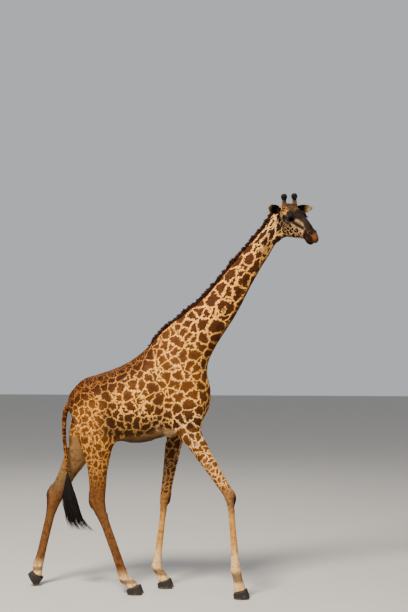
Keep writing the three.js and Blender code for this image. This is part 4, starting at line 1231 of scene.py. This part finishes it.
# ---------------------------------------------------------------- mane, tail tuft, horns
def skin_finder(mesh):
    """A function that gives the skin's point nearest to a place, and that point's place on the map."""
    tree = BVHTree.FromPolygons([v.co for v in mesh.vertices], [tuple(p.vertices) for p in mesh.polygons])
    spots = mesh.uv_layers[MAP].data

    def nearest(co):
        spot, _, index, _ = tree.find_nearest(Vector(co + HOME))
        face = mesh.polygons[index]
        return np.array(spot) - HOME, np.mean([spots[i].uv for i in face.loop_indices], axis=0)
    return nearest


def clumps(rng, count):
    """Random heights along a row, drawn a little together, 0 to 1."""
    soft = rng.random(count)
    for _ in range(2):
        soft = (np.roll(soft, 1) + soft * 2 + np.roll(soft, -1)) / 4
    return (soft - soft.min()) / (soft.max() - soft.min())


def mane(nearest, rng):
    """Stiff upright hairs along the neck's crest, in uneven clumps."""
    count, rows, stations = 5200, 3, 400
    line = curve_points(CREST, stations)
    step = unit(np.gradient(line, axis=0))
    pick = rng.uniform(2, stations - 3, count)
    base_x, base_z, down_x, down_z = (
        np.interp(pick, np.arange(stations), values[:, k]) for values in (line, step) for k in (0, 1))
    rise = np.stack([down_z, np.zeros(count), -down_x], 1)
    rise = unit(np.where(rise[:, 2:3] < 0, -rise, rise))
    back = np.stack([down_x, np.zeros(count), down_z], 1)
    y = rng.normal(0, 0.0075, count).clip(-0.017, 0.017)
    found = [nearest(at) for at in np.stack([base_x, y, base_z], 1)]
    roots, uv = (np.array(part) for part in zip(*found))
    roots -= rise * 0.006
    clump = np.interp(pick, np.arange(stations), clumps(rng, stations))
    ends = ease(pick, 0, 26) * ease(stations - pick, 0, 28)
    height = MANE_HEIGHT * (0.60 + 0.72 * clump ** 1.4 + rng.normal(0, 0.09, count)) * (0.55 + 0.45 * ends)
    lean = rise + back * rng.normal(0.20, 0.16, count)[:, None]
    lean = unit(lean + np.array([0, 1, 0]) * (y * 9 + rng.normal(0, 0.10, count))[:, None])
    places = np.arange(rows + 1) / rows
    spine = np.stack([roots + lean * (height * t)[:, None] + back * (0.010 * t * t) for t in places], 1)
    across = unit(np.cross(lean, unit(rng.normal(0, 1, (count, 3)))))
    finish = hair_finish("mane_hair", "0e0604", "431c0c", (160, 160, 60))
    strands("mane_hair", spine, across, unit(np.cross(lean, across)), rng.uniform(0.006, 0.011, count),
            np.full(count, 0.004), uv, rng, finish, "mane_hair", {}, "mane")


def tail_tuft(nearest, rng):
    """Long hairs in locks, fanned out between the tuft's back and front edges."""
    count, rows, locks = 760, 10, 34
    knots = np.linspace(0, 1, len(TUFT_BACK))
    back, front = np.array(TUFT_BACK), np.array(TUFT_FRONT)
    lock = rng.integers(0, locks, count)
    ring = (np.sqrt(rng.uniform(0.05, 1, locks))[lock] + rng.normal(0, 0.10, count)).clip(0, 1)
    turn = rng.uniform(0, 2 * np.pi, locks)[lock] + rng.normal(0, 0.20, count)
    start = rng.uniform(0.0, 0.30, count) ** 1.2
    end = np.clip(rng.uniform(0.70, 1.22, count) * rng.uniform(0.84, 1.04, locks)[lock], 0.4, 0.998)
    wave = rng.uniform(0, 2 * np.pi, locks)[lock]
    spine = np.empty((count, rows + 1, 3))
    for i in range(rows + 1):
        t = start + (end - start) * i / rows
        grown = np.minimum(1, 0.30 + 1.4 * i / rows)
        share = 0.5 + 0.5 * ring * np.cos(turn) * grown + 0.03 * np.sin(wave + 9 * t) * i / rows
        for k, axis in ((0, 0), (1, 2)):
            near, far = (np.interp(t, knots, edge[:, k]) for edge in (back, front))
            spine[:, i, axis] = near + (far - near) * share
        spine[:, i, 1] = np.interp(t, knots, TUFT_HALF) * ring * np.sin(turn) * grown
    _, uv = nearest(np.array([TUFT_LINE[0][0], 0, TUFT_LINE[0][1]]))
    uv = uv + rng.normal(0, 0.002, (count, 2))
    across = unit(rng.normal(0, 1, (count, 3)) * (1, 1, 0.1))
    out = unit(np.cross(across, np.array([0.2, 0, -1])))
    finish = hair_finish("tail_hair", "0e0b0b", "231b19", (140, 140, 40))
    strands("tail_hair", spine, across, out, rng.uniform(0.005, 0.010, count), np.full(count, 0.0045),
            uv, rng, finish, "tail_hair", {}, "tail_tuft")


def horns(rng):
    """The horns' stems and knobs, with hair short up the stem and shorter over the crown."""
    nodes = ["ossicone_right", "ossicone_left"]
    piece = one_surface("horns", [(node, -0.0010) for node in nodes], HORN_CELL)
    mesh = piece.data
    place(mesh, soften(mesh, points(mesh), 0.6, (22, 22, 22)))
    smooth_faces(mesh)
    unwrap(piece)
    lean = math.radians(HORN_LEAN)
    axis = math.cos(lean) * UP - math.sin(lean) * FORWARD
    s, l, u = HORN_FOOT
    co = points(mesh) - HOME
    right = co[:, 1] < on_head(s, 0, u)[1]
    base = np.where(right[:, None], on_head(s, -l, u), on_head(s, l, u))
    tip = (co - base) @ axis / (HORN_LONG * HEAD_SCALE)
    write(mesh, "tip", tip)
    finish = horn_finish()
    dress(piece, finish, "horn_coat", *nodes)
    count = 5200
    roots = Surface(mesh, {"out": normals(mesh), "tip": tip[:, None]}).roots(count, 1.0, rng)
    out, high = roots["out"], roots["tip"][:, 0]
    way = unit(axis - out * (out @ axis)[:, None] + rng.normal(0, 0.15, (count, 3)))
    long = rng.uniform(0.007, 0.011, count) * (1 - 0.86 * ease(high, 0.80, 0.96))
    lift = 0.15 + 0.30 * ease(high, 0.55, 0.8) * rng.random(count)
    thin = np.full(count, 0.0012)
    spine = lying(roots["co"], out, way, long, thin, lift, droop=0.6, rows=2)
    strands("horn_hair", spine, unit(np.cross(out, way)), out, np.full(count, 0.0028), thin,
            roots["uv"], rng, finish, "horn_coat", {"tip": high})


# ---------------------------------------------------------------- eyes, lashes, hooves
# Radians off the eye's axis. The pupil's half length and height. The clear dome's rise, of the radius.
IRIS_ANGLE, CORNEA_ANGLE = 0.62, 0.52
PUPIL_HALF, CORNEA_RISE = (0.0088, 0.0052), 0.045


def eyeball(name, eye, finish):
    """A ball with a clear dome raised over the iris; the pupil lies level."""
    centre, look, fore, _ = eye
    bm = bmesh.new()
    bmesh.ops.create_uvsphere(bm, u_segments=96, v_segments=64, radius=EYE_RADIUS)
    mesh = into_mesh(bm, "eyeball_" + name)
    co = points(mesh)
    angle = np.arccos(np.clip(co[:, 2] / EYE_RADIUS, -1, 1))
    co *= (1 + CORNEA_RISE * bell(angle, CORNEA_ANGLE, 4))[:, None]
    pupil = np.hypot(co[:, 0] / PUPIL_HALF[0], co[:, 1] / PUPIL_HALF[1])
    write(mesh, "iris", 1 - angle / (2 * IRIS_ANGLE))
    write(mesh, "pupil", 1 - pupil / 2 - (co[:, 2] < 0))
    place(mesh, co @ np.stack([fore, np.cross(look, fore), look]) + centre + HOME)
    smooth_faces(mesh)
    dress(new_object("eyeball_" + name, mesh), finish, "eye", "eye_" + name)


def lashes(nearest, rng):
    """Long hairs on the upper lid that bend down, and short ones on the lower that bend up."""
    rows = 4
    hairs = []
    for centre, look, fore, brow in EYES.values():
        for upper, lid, count, long in ((1, LID_UP, 90, 0.026), (-1, LID_DOWN, 34, 0.011)):
            a = rng.uniform(-0.9, 0.92, count) * LID_HALF
            b = upper * lid * (1 - (a / LID_HALF) ** 2) ** 0.75
            b = b - 0.10 * a + upper * rng.uniform(0.0, 0.0025, count)
            flat = a[:, None] * fore + b[:, None] * brow
            lift = np.sqrt(np.maximum((EYE_RADIUS + 0.0022) ** 2 - (flat ** 2).sum(1), 0))
            way = look * 0.85 + fore * (0.25 + a[:, None] * 9) + brow * (upper * 0.12)
            way = unit(way + rng.normal(0, 0.10, (count, 3)))
            out = np.tile(-brow * upper, (count, 1))
            root = centre + flat + look * lift[:, None]
            hairs.append((root, way, out, rng.uniform(0.7, 1.1, count) * long))
    root, way, out, long = (np.concatenate(part) for part in zip(*hairs))
    out = unit(out - way * (out * way).sum(1)[:, None])
    spine = np.stack([root + way * (long * t)[:, None] + out * (0.25 * long * t ** 2)[:, None]
                      for t in np.arange(rows + 1) / rows], 1)
    uv = np.array([nearest(r)[1] for r in root])
    finish = hair_finish("lash_hair", "0d0a09", "241b17", (300, 300, 300))
    strands("lashes", spine, unit(np.cross(way, out)), out, np.full(len(root), 0.0011),
            np.full(len(root), 0.0008), uv, rng, finish, "coat", {})


# Whatever is lower than this becomes the flat sole.
SOLE_FLAT = 0.0035


def hooves():
    """All eight toes' horn, with rounded edges and flat soles."""
    nodes = [f"{leg}_hoof_{part}" for leg in LEGS for part in ("outer", "inner")]
    piece = one_surface("hooves", [(node,) for node in nodes], HOOF_CELL)
    mesh = piece.data
    soft = soften(mesh, points(mesh), 0.6, (34, 34, 10))
    soft[soft[:, 2] < SOLE_FLAT, 2] = 0.0
    place(mesh, soft)
    smooth_faces(mesh)
    dress(piece, hoof_finish(), "hoof", *nodes)


# ---------------------------------------------------------------- studio
CAMERA_AT, CAMERA_TURN, CAMERA_TILT, CAMERA_LENS = (1.9950, -10.1920, 2.3300), 8.0, 3.189, 59.12
LAMPS = [
    ("key", (-2.5, -6.5, 10.5), 3500, 3.0, (1.0, 0.93, 0.82)),
    ("fill", (8.0, -9.0, 4.0), 140, 6.0, (1.0, 0.97, 0.92)),
    ("rim", (-3.0, 8.0, 9.0), 380, 5.0, (1.0, 0.97, 0.92)),
]
LAMP_AIM, SKY_LIGHT = Vector((0, 0, 1.9)), 0.54


def studio():
    bm = bmesh.new()
    bmesh.ops.create_grid(bm, x_segments=8, y_segments=8, size=60)
    floor = new_object("floor", into_mesh(bm, "floor"))
    f = Finish("studio_floor", Roughness=0.9, Specular_IOR_Level=0.2)
    pale = f.mix((0.40, 0.385, 0.36), (0.44, 0.425, 0.40), f.noise(f.spot(), 0.8, 3.0, 0.6))
    floor.data.materials.append(f.set(Base_Color=pale))
    floor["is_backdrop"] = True
    world = bpy.data.worlds.new("studio")
    world.use_nodes = True
    sky = world.node_tree.nodes["Background"].inputs
    sky["Color"].default_value = (0.93, 0.95, 1.0, 1)
    sky["Strength"].default_value = SKY_LIGHT
    bpy.context.scene.world = world
    for name, at, power, size, colour in LAMPS:
        lamp = bpy.data.lights.new(name, "AREA")
        lamp.energy, lamp.size, lamp.color = power, size, colour
        light = new_object(name, lamp)
        light.location = at
        light.rotation_euler = (LAMP_AIM - Vector(at)).to_track_quat("-Z", "Y").to_euler()
    camera = new_object("camera", bpy.data.cameras.new("camera"))
    camera.data.lens = CAMERA_LENS
    camera.data.sensor_width = 36
    camera.data.clip_end = 200
    camera.location = np.array(CAMERA_AT) + HOME
    camera.rotation_euler = (math.radians(90 + CAMERA_TILT), 0, math.radians(CAMERA_TURN))
    bpy.context.scene.camera = camera


# ---------------------------------------------------------------- putting it together
SEED = 41


def build():
    rng = np.random.default_rng(SEED)
    skin = raw_skin()
    mesh = shape_skin(skin)
    unwrap(skin)
    marks = all_marks(mesh)
    for key, kind in MARKS.items():
        write(mesh, key, marks[key], kind)
    dress(skin, hide_finish("hide", tufts=False), "coat", *FLESH)
    nearest = skin_finder(mesh)
    coats(Surface(mesh, marks), rng)
    mane(nearest, rng)
    tail_tuft(nearest, rng)
    horns(rng)
    wet = eye_finish()
    for name, eye in EYES.items():
        eyeball(name, eye, wet)
    lashes(nearest, rng)
    hooves()
    studio()


build()
boxes = {"cad": SOLID_BOX, "visual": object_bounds()}
boxes = {name: [list(corner) for corner in box] for name, box in boxes.items()}
